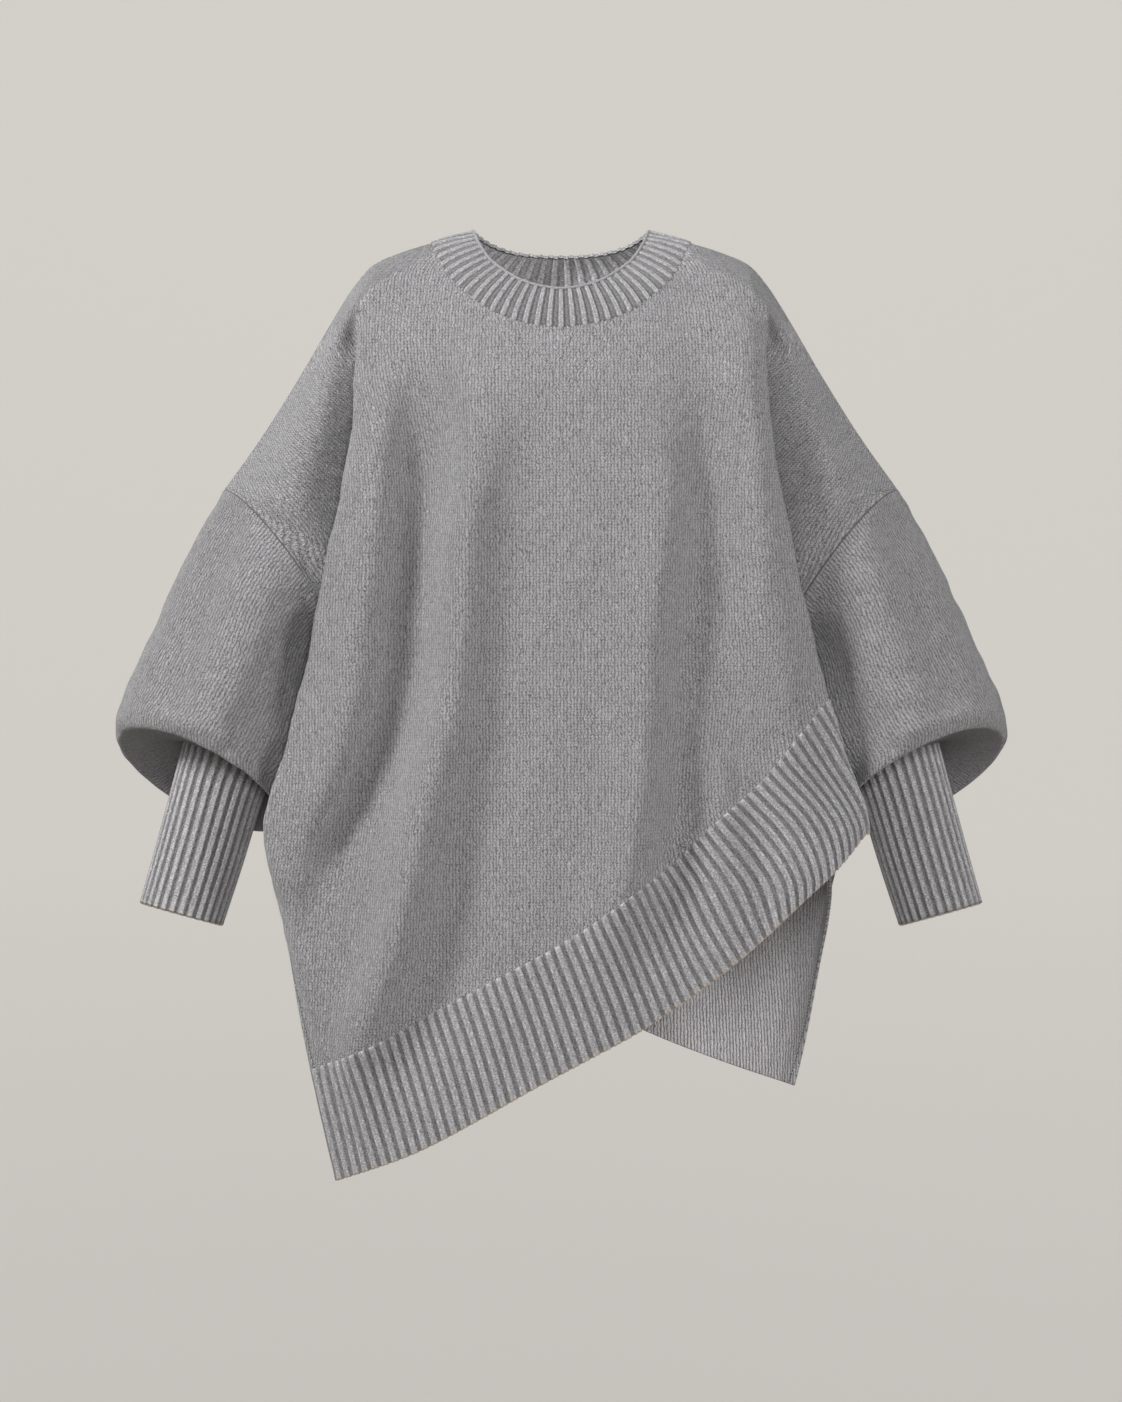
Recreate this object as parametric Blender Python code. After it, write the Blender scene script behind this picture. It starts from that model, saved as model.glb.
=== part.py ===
"""Knitted poncho sweater, filled out as if worn, with nobody in it.

Two uneven body panels, long on opposite sides, are joined by shoulder and
side seams.  Full sleeves droop over long ribbed cuffs, a ribbed band closes
the front hem, and a ribbed collar closes the neck.

Sizes are in millimetres until a mesh is written.  +X is the sweater's left
side, +Z is up and the front faces -Y.  The origin is the middle of the neck
at the height of the shoulder line.
"""

import math
from collections import namedtuple

import bpy
import numpy as np

MM = 0.001
WALL = 2.5
SEAM_GAP = 0.4

RIB_RISE = 1.6
COLLAR_RIBS_FRONT = 35
COLLAR_RIBS_BACK = 23
HEM_RIBS = 71
CUFF_RIBS = 24

SLEEVE_SIDES = 22
PANEL_ROWS = 30
# The rows at which a panel's edge meets the armhole, underarm and side slit.
LONG_STOPS = (8, 19, 24)
SHORT_STOPS = (16, 27, 30)
PANEL_STOPS = (-1.0, -0.92, -0.82, -0.72, -0.63, -0.57, -0.5, -0.43, -0.35, -0.27,
               -0.18, -0.09, 0.0, 0.09, 0.18, 0.27, 0.35, 0.43, 0.5, 0.57, 0.63, 0.72,
               0.82, 0.92, 1.0)

# A level cut through half a panel, from its middle out to its seam.  The
# middle stands at x = 0 and "half" stands midway to the side fold.
Cut = namedtuple("Cut", "z middle_y half_y fold_x fold_y valley_x valley_y arm_x arm_y")

FRONT_CUTS = (
    Cut(6.6, -45, -40, 88, -24, 98, -18, 110, -10),
    Cut(-6, -54, -48, 112, -30, 122, -25, 136, -16),
    Cut(-19, -66, -58, 142, -35, 152, -29, 166, -18),
    Cut(-31, -74, -66, 166, -37, 173, -28, 181, -16),
    Cut(-46.5, -82, -73, 181, -43, 188, -30, 194, -16),
    Cut(-62, -89, -82, 187, -51, 194, -34, 203, -20),
    Cut(-77.5, -95, -89, 190, -59, 194, -37, 208, -26),
    Cut(-100, -104, -97, 193, -67, 191, -42, 214, -38),
    Cut(-130, -112, -106, 195, -75, 186, -47, 222, -50),
    Cut(-170, -118, -112, 197, -81, 183, -50, 235, -62),
    Cut(-215, -123, -116, 204, -86, 186, -52, 250, -70),
    Cut(-250, -126, -118, 211, -89, 192, -56, 250, -73),
    Cut(-290, -128, -119, 220, -91, 199, -64, 226, -69),
    Cut(-320, -128, -119, 226, -91, 209, -73, 219, -68),
    Cut(-345, -128, -119, 231, -91, 217, -78, 213, -70),
    Cut(-365, -128, -119, 234, -90, 220, -78, 209, -63),
    Cut(-385, -127, -118, 238, -89, 223, -75, 206, -51),
    Cut(-430, -126, -118, 248, -88, 236, -74, 212, -48),
    Cut(-480, -125, -117, 260, -86, 250, -74, 228, -48),
    Cut(-549, -123, -115, 284, -83, 276, -70, 258, -44),
    Cut(-590, -122, -114, 265, -87, 273, -65, 267, -44),
    Cut(-640, -121, -113, 238, -93, 256, -80, 262, -66),
    Cut(-720, -119, -112, 212, -95, 232, -86, 241, -78),
    Cut(-800, -117, -110, 192, -94, 212, -86, 222, -78),
    Cut(-890, -115, -108, 172, -92, 190, -84, 200, -77),
)
BACK_CUTS = (
    Cut(6.6, -42, -38, 88, -24, 98, -18, 110, -10),
    Cut(-6, -52, -47, 112, -29, 122, -24, 136, -15),
    Cut(-19, -62, -56, 142, -35, 152, -29, 166, -18),
    Cut(-35, -72, -64, 168, -40, 175, -31, 184, -17),
    Cut(-62, -84, -76, 187, -50, 195, -36, 203, -20),
    Cut(-100, -95, -88, 193, -62, 195, -46, 214, -38),
    Cut(-150, -105, -99, 196, -74, 190, -54, 230, -58),
    Cut(-215, -114, -108, 204, -82, 194, -58, 256, -70),
    Cut(-250, -115, -109, 211, -84, 200, -60, 265, -72),
    Cut(-290, -114, -108, 220, -84, 206, -62, 252, -72),
    Cut(-335, -112, -106, 229, -84, 218, -69, 242, -70),
    Cut(-360, -111, -105, 233, -83, 225, -72, 233, -67),
    Cut(-375, -111, -105, 236, -83, 229, -73, 227, -64),
    Cut(-390, -110, -104, 239, -82, 231, -72, 221, -58),
    Cut(-430, -110, -104, 248, -81, 240, -71, 222, -50),
    Cut(-480, -110, -104, 260, -80, 252, -71, 232, -48),
    Cut(-549, -111, -104, 284, -78, 275, -66, 256, -42),
    Cut(-590, -112, -105, 258, -82, 263, -62, 258, -42),
    Cut(-640, -112, -105, 234, -88, 248, -77, 253, -64),
    Cut(-700, -112, -105, 217, -90, 233, -82, 241, -74),
    Cut(-810, -111, -103, 185, -88, 202, -82, 211, -76),
)
# The places of a cut's points across half a panel.
CUT_STOPS = (0.0, 0.25, 0.5, 0.62, 0.8)
# The short side of a panel flares this much more by its lower corner.
SHORT_FLARE = 0.015
FLARE_FROM = -300.0
FLARE_TO = -551.0

# Outer seams, as (distance from the middle, height).
SHOULDER_SEAM = ((122.5, 6.6), (150, -4), (180, -19), (197, -42), (210, -62), (248, -123.5),
                 (286, -180.5), (320.8, -229.2))
SIDE_SEAM = ((208.2, -384.8), (201, -394), (200, -425), (215, -475), (236, -549))
# The free edge below the side slit, as (distance, depth, height).
FRONT_SLIT = ((236, 0, -549), (249, -14, -575), (259, -30, -600), (261, -48, -632),
              (256, -62, -667), (236, -72, -775), (211, -72, -885))
BACK_SLIT = ((236, 0, -549), (244, -14, -575), (250, -28, -600), (252, -46, -635),
             (248, -60, -680), (235, -68, -750), (220, -70, -812))

# Edges across a panel, as (x, height), from its long side to its short side.
FRONT_NECKLINE = ((0, -77.5), (42, -70.3), (66, -60.5), (85, -46.5), (102, -31), (113.5, -12.6),
                  (120, 3), (122.5, 6.6))
BACK_NECKLINE = ((0, -35), (30, -34), (66, -29), (95, -18), (113, -5), (120, 3), (122.5, 6.6))
FRONT_HEM = ((-241, -779), (-183, -756), (-116, -720), (-56, -688), (7.6, -653), (56, -620),
             (104.5, -582), (147, -542.5), (193, -500.7), (227, -458), (241, -440), (300, -390))
BAND_HEM = ((-213, -879), (-134.5, -850), (-74, -818), (-28.5, -792), (27.5, -762), (70, -739),
            (113, -710.6), (170, -668), (227, -616.5), (270, -574), (288, -551), (330, -520))
BACK_HEM = ((-224, -796), (-170, -779), (-70, -740), (30, -690), (130, -636), (230, -580),
            (290, -549), (340, -525))

# Lengthwise folds in a panel.  A negative rise is a trough.
Fold = namedtuple("Fold", "top_x top_z mid_x mid_z low_x low_z width rise")
FRONT_FOLDS = (
    Fold(-91, -150, -112, -400, -205, -760, 20, 8),
    Fold(92, -230, 58, -430, 15, -660, 20, 6),
    Fold(160, -70, 176, -260, 205, -470, 18, 5),
    Fold(-148, -90, -148, -370, -240, -650, 17, -10),
    Fold(-56, -200, -68, -440, -145, -760, 16, -5),
    Fold(132, -180, 108, -400, 92, -640, 17, -8),
    Fold(152, -340, 170, -460, 190, -560, 13, -4),
)
BACK_FOLDS = (
    Fold(-110, -120, -120, -400, -160, -740, 22, 6),
    Fold(20, -160, 10, -420, -40, -680, 24, 5),
    Fold(128, -110, 140, -330, 180, -560, 20, 5),
    Fold(-50, -150, -56, -430, -90, -700, 20, -7),
    Fold(84, -140, 76, -400, 60, -620, 18, -6),
    Fold(-165, -150, -170, -380, -215, -620, 17, -6),
)

# Armhole seam: a flat oval, leaning in towards the neck at its front.
ARMHOLE_MIDDLE = np.array([264.5, 0.0, -307.0])
ARMHOLE_HALF_WIDTH = 96.0
ARMHOLE_HALF_DEPTH = 71.5
ARMHOLE_LEAN = 17.0

# Ovals along a sleeve: outer and inner end in the X-Z plane, middle depth,
# half depth, and how far the front stands up towards the shoulder.
Oval = namedtuple("Oval", "outer_x outer_z inner_x inner_z middle_y half_depth lean")
SLEEVE_OVALS = (
    Oval(320.8, -229.2, 208.2, -384.8, 0, 71.5, 17),
    Oval(337, -257, 220, -397, -1, 75, 18),
    Oval(362, -304, 233, -425, -2, 79, 20),
    Oval(391, -369, 240, -476, -4, 84, 24),
    Oval(416, -424, 254, -518, -5, 87, 28),
    Oval(423, -446, 261, -533, -5, 86, 30),
    Oval(420, -461, 265, -545, -5, 80, 31),
    Oval(407, -463, 271, -538, -5, 68, 28),
    Oval(385, -464, 272, -510, -5, 51, 14),
    Oval(359.7, -466.6, 268.8, -492.8, -5, 30.7, 0),
)
CUFF_OVALS = (
    Oval(356, -463.5, 272, -488.5, -5, 27, 0),
    Oval(366, -502, 286, -526, -6, 26, 0),
    Oval(381, -558, 303, -582, -7, 24, 0),
    Oval(398, -619, 322, -640, -8, 23, 0),
)

# The collar's upper edge, as (distance from the middle, depth, height).
COLLAR_TOP_FRONT = ((84, 0, 18.4), (77, -29, 2), (68, -43, -11.5), (54, -56, -23),
                    (39, -65, -32), (19.5, -71, -38.3), (0, -73, -40.8))
COLLAR_TOP_BACK = ((84, 0, 18.4), (79, 17, 14), (68, 32, 7.5), (50, 44, 1), (30, 52, -2),
                   (0, 56, -3.5))

COLOURS = {
    "front_panel": (0.36, 0.36, 0.37),
    "back_panel": (0.34, 0.34, 0.35),
    "hem_rib": (0.38, 0.38, 0.39),
    "collar_rib": (0.38, 0.38, 0.39),
    "sleeve_left": (0.35, 0.35, 0.36),
    "sleeve_right": (0.35, 0.35, 0.36),
    "cuff_left": (0.38, 0.38, 0.39),
    "cuff_right": (0.38, 0.38, 0.39),
}


def clear_scene():
    """Remove every object."""
    for item in list(bpy.data.objects):
        bpy.data.objects.remove(item, do_unlink=True)


def smooth(at, knots, values):
    """A smooth curve through values given at rising knots, read at points."""
    knots = np.asarray(knots, dtype=float)
    values = np.asarray(values, dtype=float)
    at = np.clip(np.asarray(at, dtype=float), knots[0], knots[-1])
    flat = values.reshape(len(knots), -1)
    step = np.diff(knots)[:, None]
    slope = np.diff(flat, axis=0) / step
    tangent = np.empty_like(flat)
    tangent[0] = slope[0]
    tangent[-1] = slope[-1]
    tangent[1:-1] = (slope[:-1] * step[1:] + slope[1:] * step[:-1]) / (step[1:] + step[:-1])
    span = np.clip(np.searchsorted(knots, at, side="right") - 1, 0, len(knots) - 2)
    width = (knots[span + 1] - knots[span])[..., None]
    part = (at[..., None] - knots[span][..., None]) / width
    result = ((2 * part ** 3 - 3 * part ** 2 + 1) * flat[span]
              + (part ** 3 - 2 * part ** 2 + part) * width * tangent[span]
              + (3 * part ** 2 - 2 * part ** 3) * flat[span + 1]
              + (part ** 3 - part ** 2) * width * tangent[span + 1])
    return result.reshape(at.shape + values.shape[1:])


def along(points, parts):
    """Points at equal parts of the length of a smooth curve."""
    points = np.asarray(points, dtype=float)
    rough = lengths(points)
    fine = smooth(np.linspace(0, 1, 400), rough, points)
    return smooth(parts, lengths(fine), fine)


def lengths(points):
    """Distance along a line at each of its points, as a share of the whole."""
    steps = np.linalg.norm(np.diff(points, axis=0), axis=1)
    total = np.concatenate([[0.0], np.cumsum(steps)])
    return total / total[-1]


def unit(vectors):
    """Vectors scaled to a length of one."""
    return vectors / np.maximum(np.linalg.norm(vectors, axis=-1, keepdims=True), 1e-9)


def read_cuts(cuts, heights):
    """The five inner points of a half cut at each height, as (x, y)."""
    table = np.array([[0.0, c.middle_y, c.fold_x / 2, c.half_y, c.fold_x, c.fold_y,
                       c.valley_x, c.valley_y, c.arm_x, c.arm_y] for c in reversed(cuts)])
    knots = np.array([c.z for c in reversed(cuts)])
    return smooth(heights, knots, table).reshape(heights.shape + (5, 2))


def armhole(angle, lean):
    """A point of the left armhole seam; 0 is the shoulder, pi the underarm."""
    out = np.array([0.5865, 0.0, 0.81])
    inward = np.array([-0.81, 0.0, 0.5865])
    angle = np.asarray(angle, dtype=float)[..., None]
    return (ARMHOLE_MIDDLE + ARMHOLE_HALF_WIDTH * np.cos(angle) * out
            + np.sin(angle) * (np.array([0.0, -ARMHOLE_HALF_DEPTH, 0.0]) + lean * inward))


def side_edge(part, share, slit, lean, long_side, low):
    """The outer edge of half a panel from the neck down to its hem.

    "share" holds the places of the shoulder end, the underarm and the slit.
    """
    shoulder = along([(x, 0.0, z) for x, z in SHOULDER_SEAM], part / share[0])
    turn = np.clip((part - share[0]) / (share[1] - share[0]), 0, 1)
    arm = armhole(math.pi * turn, lean)
    seam = np.array([(x, 0.0, z) for x, z in SIDE_SEAM])
    stop = share[2] if long_side else 1.0
    end = -549.0 if long_side else low
    drop = np.clip((part - share[1]) / (stop - share[1]), 0, 1)
    side_z = SIDE_SEAM[0][1] + (end - SIDE_SEAM[0][1]) * drop
    side = smooth(side_z, seam[::-1, 2], seam[::-1])
    edge = np.where((part <= share[0])[:, None], shoulder, arm)
    edge = np.where((part > share[1])[:, None], side, edge)
    if long_side:
        free = np.array(slit, dtype=float)
        drop = np.clip((part - stop) / (1 - stop), 0, 1)
        free_z = -549.0 + (low + 549.0) * drop
        free_edge = smooth(free_z, free[::-1, 2], free[::-1])
        edge = np.where((part > stop)[:, None], free_edge, edge)
    return edge


def edge_line(slit, lean, long_side):
    """The outer edge of half a panel as points with rising heights."""
    shoulder = along([(x, 0.0, z) for x, z in SHOULDER_SEAM], np.linspace(0, 1, 40))
    arm = armhole(np.linspace(0, math.pi, 60), lean)
    side = np.array([(x, 0.0, z) for x, z in SIDE_SEAM[1:]])
    parts = [shoulder, arm, side]
    if long_side:
        parts.append(np.array(slit[1:], dtype=float))
    points = np.concatenate(parts)
    return points[np.argsort(points[:, 2])]


class Panel:
    """Half of the body: rows of points from the neckline to the hem."""

    def __init__(self, cuts, neckline, hem, slit, folds, lean, low_hem=None):
        self.cuts = cuts
        self.slit = slit
        self.folds = folds
        self.lean = lean
        self.neckline = neckline
        self.hem = hem
        self.low_hem = low_hem or hem
        self.long_edge = edge_line(slit, lean, True)
        self.short_edge = edge_line(slit, lean, False)

    def cut_point(self, stop, heights):
        """Points (x, y) of the level cut at a place across the panel."""
        stop, heights = np.broadcast_arrays(np.asarray(stop, dtype=float), heights)
        inner = read_cuts(self.cuts, heights)
        edge = np.stack([np.where(stop < 0,
                                  np.interp(heights, self.long_edge[:, 2], self.long_edge[:, k]),
                                  np.interp(heights, self.short_edge[:, 2], self.short_edge[:, k]))
                         for k in (0, 1)], axis=-1)
        points = np.concatenate([inner, edge[..., None, :]], axis=-2)
        knots = np.array(CUT_STOPS + (1.0,))
        result = self.blend(np.abs(stop), knots, points)
        flare = np.clip((FLARE_FROM - heights) / (FLARE_FROM - FLARE_TO), 0, 1.2)
        wider = np.where(stop > 0, 1 + SHORT_FLARE * flare, 1.0)
        result[..., 0] *= wider * np.sign(stop)
        return result

    @staticmethod
    def blend(at, knots, points):
        """A smooth reading of points[..., knot, :] at one place each."""
        flipped = points[..., 1, :] * np.array([-1.0, 1.0])
        padded = np.concatenate([flipped[..., None, :], points], axis=-2)
        places = np.concatenate([[-knots[1]], knots])
        step = np.diff(places)[:, None]
        slope = np.diff(padded, axis=-2) / step
        tangent = np.empty_like(padded)
        tangent[..., 0, :] = slope[..., 0, :]
        tangent[..., -1, :] = slope[..., -1, :]
        tangent[..., 1:-1, :] = ((slope[..., :-1, :] * step[1:] + slope[..., 1:, :] * step[:-1])
                                 / (step[1:] + step[:-1]))
        span = np.clip(np.searchsorted(places, at, side="right") - 1, 0, len(places) - 2)
        width = (places[span + 1] - places[span])[..., None]
        part = (at - places[span])[..., None] / width

        def pick(values, shift=0):
            index = (span + shift)[..., None, None]
            return np.take_along_axis(values, index, axis=-2)[..., 0, :]

        return ((2 * part ** 3 - 3 * part ** 2 + 1) * pick(padded)
                + (part ** 3 - 2 * part ** 2 + part) * width * pick(tangent)
                + (3 * part ** 2 - 2 * part ** 3) * pick(padded, 1)
                + (part ** 3 - part ** 2) * width * pick(tangent, 1))

    def meet(self, stop, curve, mirrored):
        """Height where the line at each place across reaches a curve."""
        curve = np.array(curve, dtype=float)
        stop = np.asarray(stop, dtype=float)
        seen = stop if mirrored else np.clip(stop, -1.0, 0.5)
        high = np.full(stop.shape, 6.6)
        low = np.full(stop.shape, -890.0)
        for _ in range(40):
            middle = (high + low) / 2
            x = self.cut_point(seen, middle)[..., 0]
            wanted = smooth(np.abs(x) if mirrored else x, curve[:, 0], curve[:, 1])
            above = middle > wanted
            high = np.where(above, middle, high)
            low = np.where(above, low, middle)
        return (high + low) / 2

    def fold_rise(self, x, z):
        """Forward rise of the cloth where folds run."""
        total = np.zeros_like(x)
        for fold in self.folds:
            knots = [fold.low_z, fold.mid_z, fold.top_z]
            line = smooth(z, knots, [fold.low_x, fold.mid_x, fold.top_x])
            reach = 70.0
            ends = np.clip((fold.top_z + reach - z) / (2 * reach), 0, 1)
            ends = ends * np.clip((z - fold.low_z + reach) / (2 * reach), 0, 1)
            ends = ends * ends * (3 - 2 * ends)
            total += fold.rise * ends * np.exp(-0.5 * ((x - line) / fold.width) ** 2)
        return total

    def surface(self, stop, heights):
        """Points of the outer face at places across and heights."""
        stop, heights = np.broadcast_arrays(np.asarray(stop, dtype=float), heights)
        flat = self.cut_point(stop, heights)
        open_face = np.clip((0.6 - np.abs(stop)) / 0.12, 0, 1)
        depth = flat[..., 1] - open_face * self.fold_rise(flat[..., 0], heights)
        return np.stack([flat[..., 0], depth, heights], axis=-1)

    def grid(self, stops, rows):
        """Rows of points from the neckline to the hem, seams on the ends."""
        stops = np.asarray(stops, dtype=float)
        part = np.linspace(0, 1, rows + 1)
        top = self.meet(stops, self.neckline, True)
        low = self.meet(stops, self.hem, False)
        edges = []
        for side, stops_at in ((-1, LONG_STOPS), (1, SHORT_STOPS)):
            share = np.array(stops_at) / PANEL_ROWS
            end = low[0] if side < 0 else low[-1]
            edge = side_edge(part, share, self.slit, self.lean, side < 0, end)
            edges.append(edge * np.array([side, 1.0, 1.0]))
        heights = np.empty((rows + 1, len(stops)))
        for column, stop in enumerate(stops):
            edge = edges[0] if stop < 0 else edges[1]
            fall = (6.6 - edge[:, 2]) / (6.6 - edge[-1, 2])
            weight = abs(stop) ** 3
            share = part * (1 - weight) + fall * weight
            heights[:, column] = top[column] + (low[column] - top[column]) * share
        points = self.surface(stops[None, :], heights)
        for side, edge in zip((-1, 1), edges):
            self.run_to_edge(points, stops * side, edge)
        return points

    @staticmethod
    def run_to_edge(points, stops, edge):
        """Lead the outer part of each row smoothly to its seam."""
        held = [int(np.argmin(np.abs(stops - place))) for place in (0.5, 0.63, 0.82)]
        knots = np.array([stops[column] for column in held] + [1.0])
        for row in range(len(points)):
            line = np.concatenate([points[row, held], edge[row][None]])
            for column, stop in enumerate(stops):
                if stop > knots[1]:
                    points[row, column] = smooth(np.array([stop]), knots, line)[0]


def tangents(points, axis, wrap):
    """Mean of the directions to the points before and after each one."""
    before = unit(points - np.roll(points, 1, axis=axis))
    after = unit(np.roll(points, -1, axis=axis) - points)
    if not wrap:
        first = [slice(None)] * 3
        last = [slice(None)] * 3
        first[axis] = 0
        last[axis] = -1
        before[tuple(first)] = after[tuple(first)]
        after[tuple(last)] = before[tuple(last)]
    return unit(before + after)


def normals(points, wrap):
    """Unit directions out of a grid's face."""
    return unit(np.cross(tangents(points, 0, False), tangents(points, 1, wrap)))


def wall(name, outer, inner, wrap):
    """A closed solid between two matching grids of points."""
    rows, columns = outer.shape[:2]
    points = np.concatenate([outer.reshape(-1, 3), inner.reshape(-1, 3)]) * MM
    offset = rows * columns
    faces = []
    spans = columns if wrap else columns - 1
    for row in range(rows - 1):
        for column in range(spans):
            after = (column + 1) % columns
            a = row * columns + column
            b = row * columns + after
            c = (row + 1) * columns + after
            d = (row + 1) * columns + column
            faces += [(a, d, c), (a, c, b)]
            faces += [(a + offset, c + offset, d + offset),
                      (a + offset, b + offset, c + offset)]
    for row, turn in ((0, False), (rows - 1, True)):
        for column in range(spans):
            after = (column + 1) % columns
            a = row * columns + column
            b = row * columns + after
            face = (a, b, b + offset, a + offset)
            faces.append(face[::-1] if turn else face)
    if not wrap:
        for column, turn in ((0, False), (columns - 1, True)):
            for row in range(rows - 1):
                a = row * columns + column
                b = (row + 1) * columns + column
                face = (b, a, a + offset, b + offset)
                faces.append(face[::-1] if turn else face)
    mesh = bpy.data.meshes.new(name)
    mesh.from_pydata(points.tolist(), [], faces)
    mesh.update()
    item = bpy.data.objects.new(name, mesh)
    bpy.context.collection.objects.link(item)
    paint(item)
    return item


def paint(item):
    """Give a piece its own plain knit colour."""
    material = bpy.data.materials.new(item.name + "_knit")
    material.use_nodes = True
    shader = material.node_tree.nodes["Principled BSDF"]
    shader.inputs["Base Color"].default_value = (*COLOURS[item.name], 1.0)
    shader.inputs["Roughness"].default_value = 0.9
    item.data.materials.append(material)


def panel_wall(name, panel, turn):
    """One body panel; "turn" is -1 for the back, which faces the other way."""
    points = panel.grid(PANEL_STOPS, PANEL_ROWS)
    facing = normals(points, False)
    axis = unit(np.cross(armhole(0.0, panel.lean) - ARMHOLE_MIDDLE,
                         armhole(math.pi / 2, panel.lean) - ARMHOLE_MIDDLE))
    gap = SEAM_GAP / 2
    for column, (shoulder, underarm, slit) in ((0, LONG_STOPS), (-1, SHORT_STOPS)):
        beside = 1 if column == 0 else -2
        mixed = facing[:, column] + facing[:, beside]
        mixed[1:-1] = mixed[1:-1] + (mixed[:-2] + mixed[2:]) / 2
        facing[:, column] = unit(mixed)
        side = -1.0 if column == 0 else 1.0
        plane = axis * np.array([side, 1.0, 1.0])
        plane = plane * np.sign(plane[0] * side)
        facing[:shoulder + 1, column, 1] = 0.0
        facing[underarm:slit + 1, column, 1] = 0.0
        arm = slice(shoulder, underarm + 1)
        toward = np.minimum(facing[arm, column] @ plane, 0.0)
        facing[arm, column] -= toward[:, None] * plane
        facing[:, column] = unit(facing[:, column])
        points[:shoulder + 1, column, 1] -= gap
        points[underarm:slit + 1, column, 1] -= gap
        points[shoulder:underarm + 1, column] -= gap * plane
    inner = points - WALL * facing
    flip = np.array([turn, turn, 1.0])
    wall(name, points * flip, inner * flip, False)
    return (points[0], facing[0]), (points[-1], facing[-1])


def oval_rings(ovals, parts, sides, side):
    """Rings of points through a row of ovals, front first."""
    table = np.array([tuple(oval) for oval in ovals], dtype=float)
    rows = smooth(parts, np.linspace(0, 1, len(table)), table)
    angle = 2 * math.pi * np.arange(sides) / sides
    outer = rows[:, [0, 1]]
    inner = rows[:, [2, 3]]
    middle = (outer + inner) / 2
    half = (outer - inner) / 2
    across = unit(half)
    up = np.stack([-across[:, 1], across[:, 0]], axis=1)
    flat = (middle[:, None] + half[:, None] * np.cos(angle)[None, :, None]
            + (up * rows[:, 6:7])[:, None] * np.sin(angle)[None, :, None])
    depth = rows[:, 4:5] - rows[:, 5:6] * np.sin(angle)[None, :]
    points = np.stack([flat[..., 0], depth, flat[..., 1]], axis=-1)
    return points * np.array([side, 1.0, 1.0])


def tube(name, points, rises, ends, side):
    """A tube's wall, its outer points raised.

    "ends" holds the first or last row and how far it is cut back, flat.
    """
    facing = normals(points, True)
    centre = points.mean(axis=1, keepdims=True)
    outward = np.sum(facing * (points - centre), axis=(1, 2)).sum()
    facing = facing * np.sign(outward)
    for row in ends:
        first = points[row, 0] - centre[row, 0]
        second = points[row, len(points[row]) // 4] - centre[row, 0]
        axis = unit(np.cross(first, second))
        facing[row] -= (facing[row] @ axis)[:, None] * axis
        facing[row] = unit(facing[row])
        way = points[1 if row == 0 else -2].mean(axis=0) - centre[row, 0]
        points[row] += ends[row] * axis * np.sign(axis @ way)
    outer = points + facing * rises[None, :, None]
    inner = points - WALL * facing
    if side > 0:
        outer = outer[:, ::-1]
        inner = inner[:, ::-1]
    wall(name, outer, inner, True)


def build_arm(word, side):
    """A sleeve and its cuff; "side" is 1 for the sweater's left arm."""
    gap = SEAM_GAP / 2
    parts = np.array([0, 0.05, 0.1, 0.18, 0.27, 0.35, 0.43, 0.5, 0.555, 0.61, 0.667, 0.73,
                      0.8, 0.89, 0.95, 1.0])
    rings = oval_rings(SLEEVE_OVALS, parts, SLEEVE_SIDES, side)
    tube("sleeve_" + word, rings, np.zeros(SLEEVE_SIDES), {0: gap}, side)
    sides = 2 * CUFF_RIBS
    rings = oval_rings(CUFF_OVALS, np.linspace(0, 1, 5), sides, side)
    rises = np.where(np.arange(sides) % 2 == 0, RIB_RISE, 0.0)
    tube("cuff_" + word, rings, rises, {0: gap, -1: 0.0}, side)


def read_edge(edge, parts):
    """An edge's points and facing at equal parts of its length."""
    places = lengths(edge[0])
    return tuple(np.stack([np.interp(parts, places, values[:, k]) for k in range(3)], axis=1)
                 for values in edge)


def build_hem(front, seam):
    """The ribbed band hanging from the front panel's lower edge."""
    stops = np.linspace(-1, 1, 401)
    upper = front.surface(stops, front.meet(stops, front.hem, False))
    lower = front.surface(stops, front.meet(stops, front.low_hem, False))
    parts = np.linspace(0, 1, 2 * HEM_RIBS + 1)
    rows = []
    high_stop = np.interp(parts, lengths(upper), stops)
    low_stop = np.interp(parts, lengths(lower), stops)
    high_z = np.interp(high_stop, stops, upper[:, 2])
    low_z = np.interp(low_stop, stops, lower[:, 2])
    for down in (0.0, 0.33, 0.66, 1.0):
        stop = high_stop + (low_stop - high_stop) * down
        rows.append(front.surface(stop, high_z + (low_z - high_z) * down))
    points = np.array(rows)
    facing = normals(points, False)
    points[0], facing[0] = read_edge(seam, parts)
    points[0] += 1.4 * SEAM_GAP * unit(points[1] - points[0])
    facing[0] = unit(facing[0])
    rises = np.where(np.arange(len(parts)) % 2 == 1, RIB_RISE, 0.0)
    outer = points + facing * rises[None, :, None]
    wall("hem_rib", outer, points - WALL * facing, False)


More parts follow.
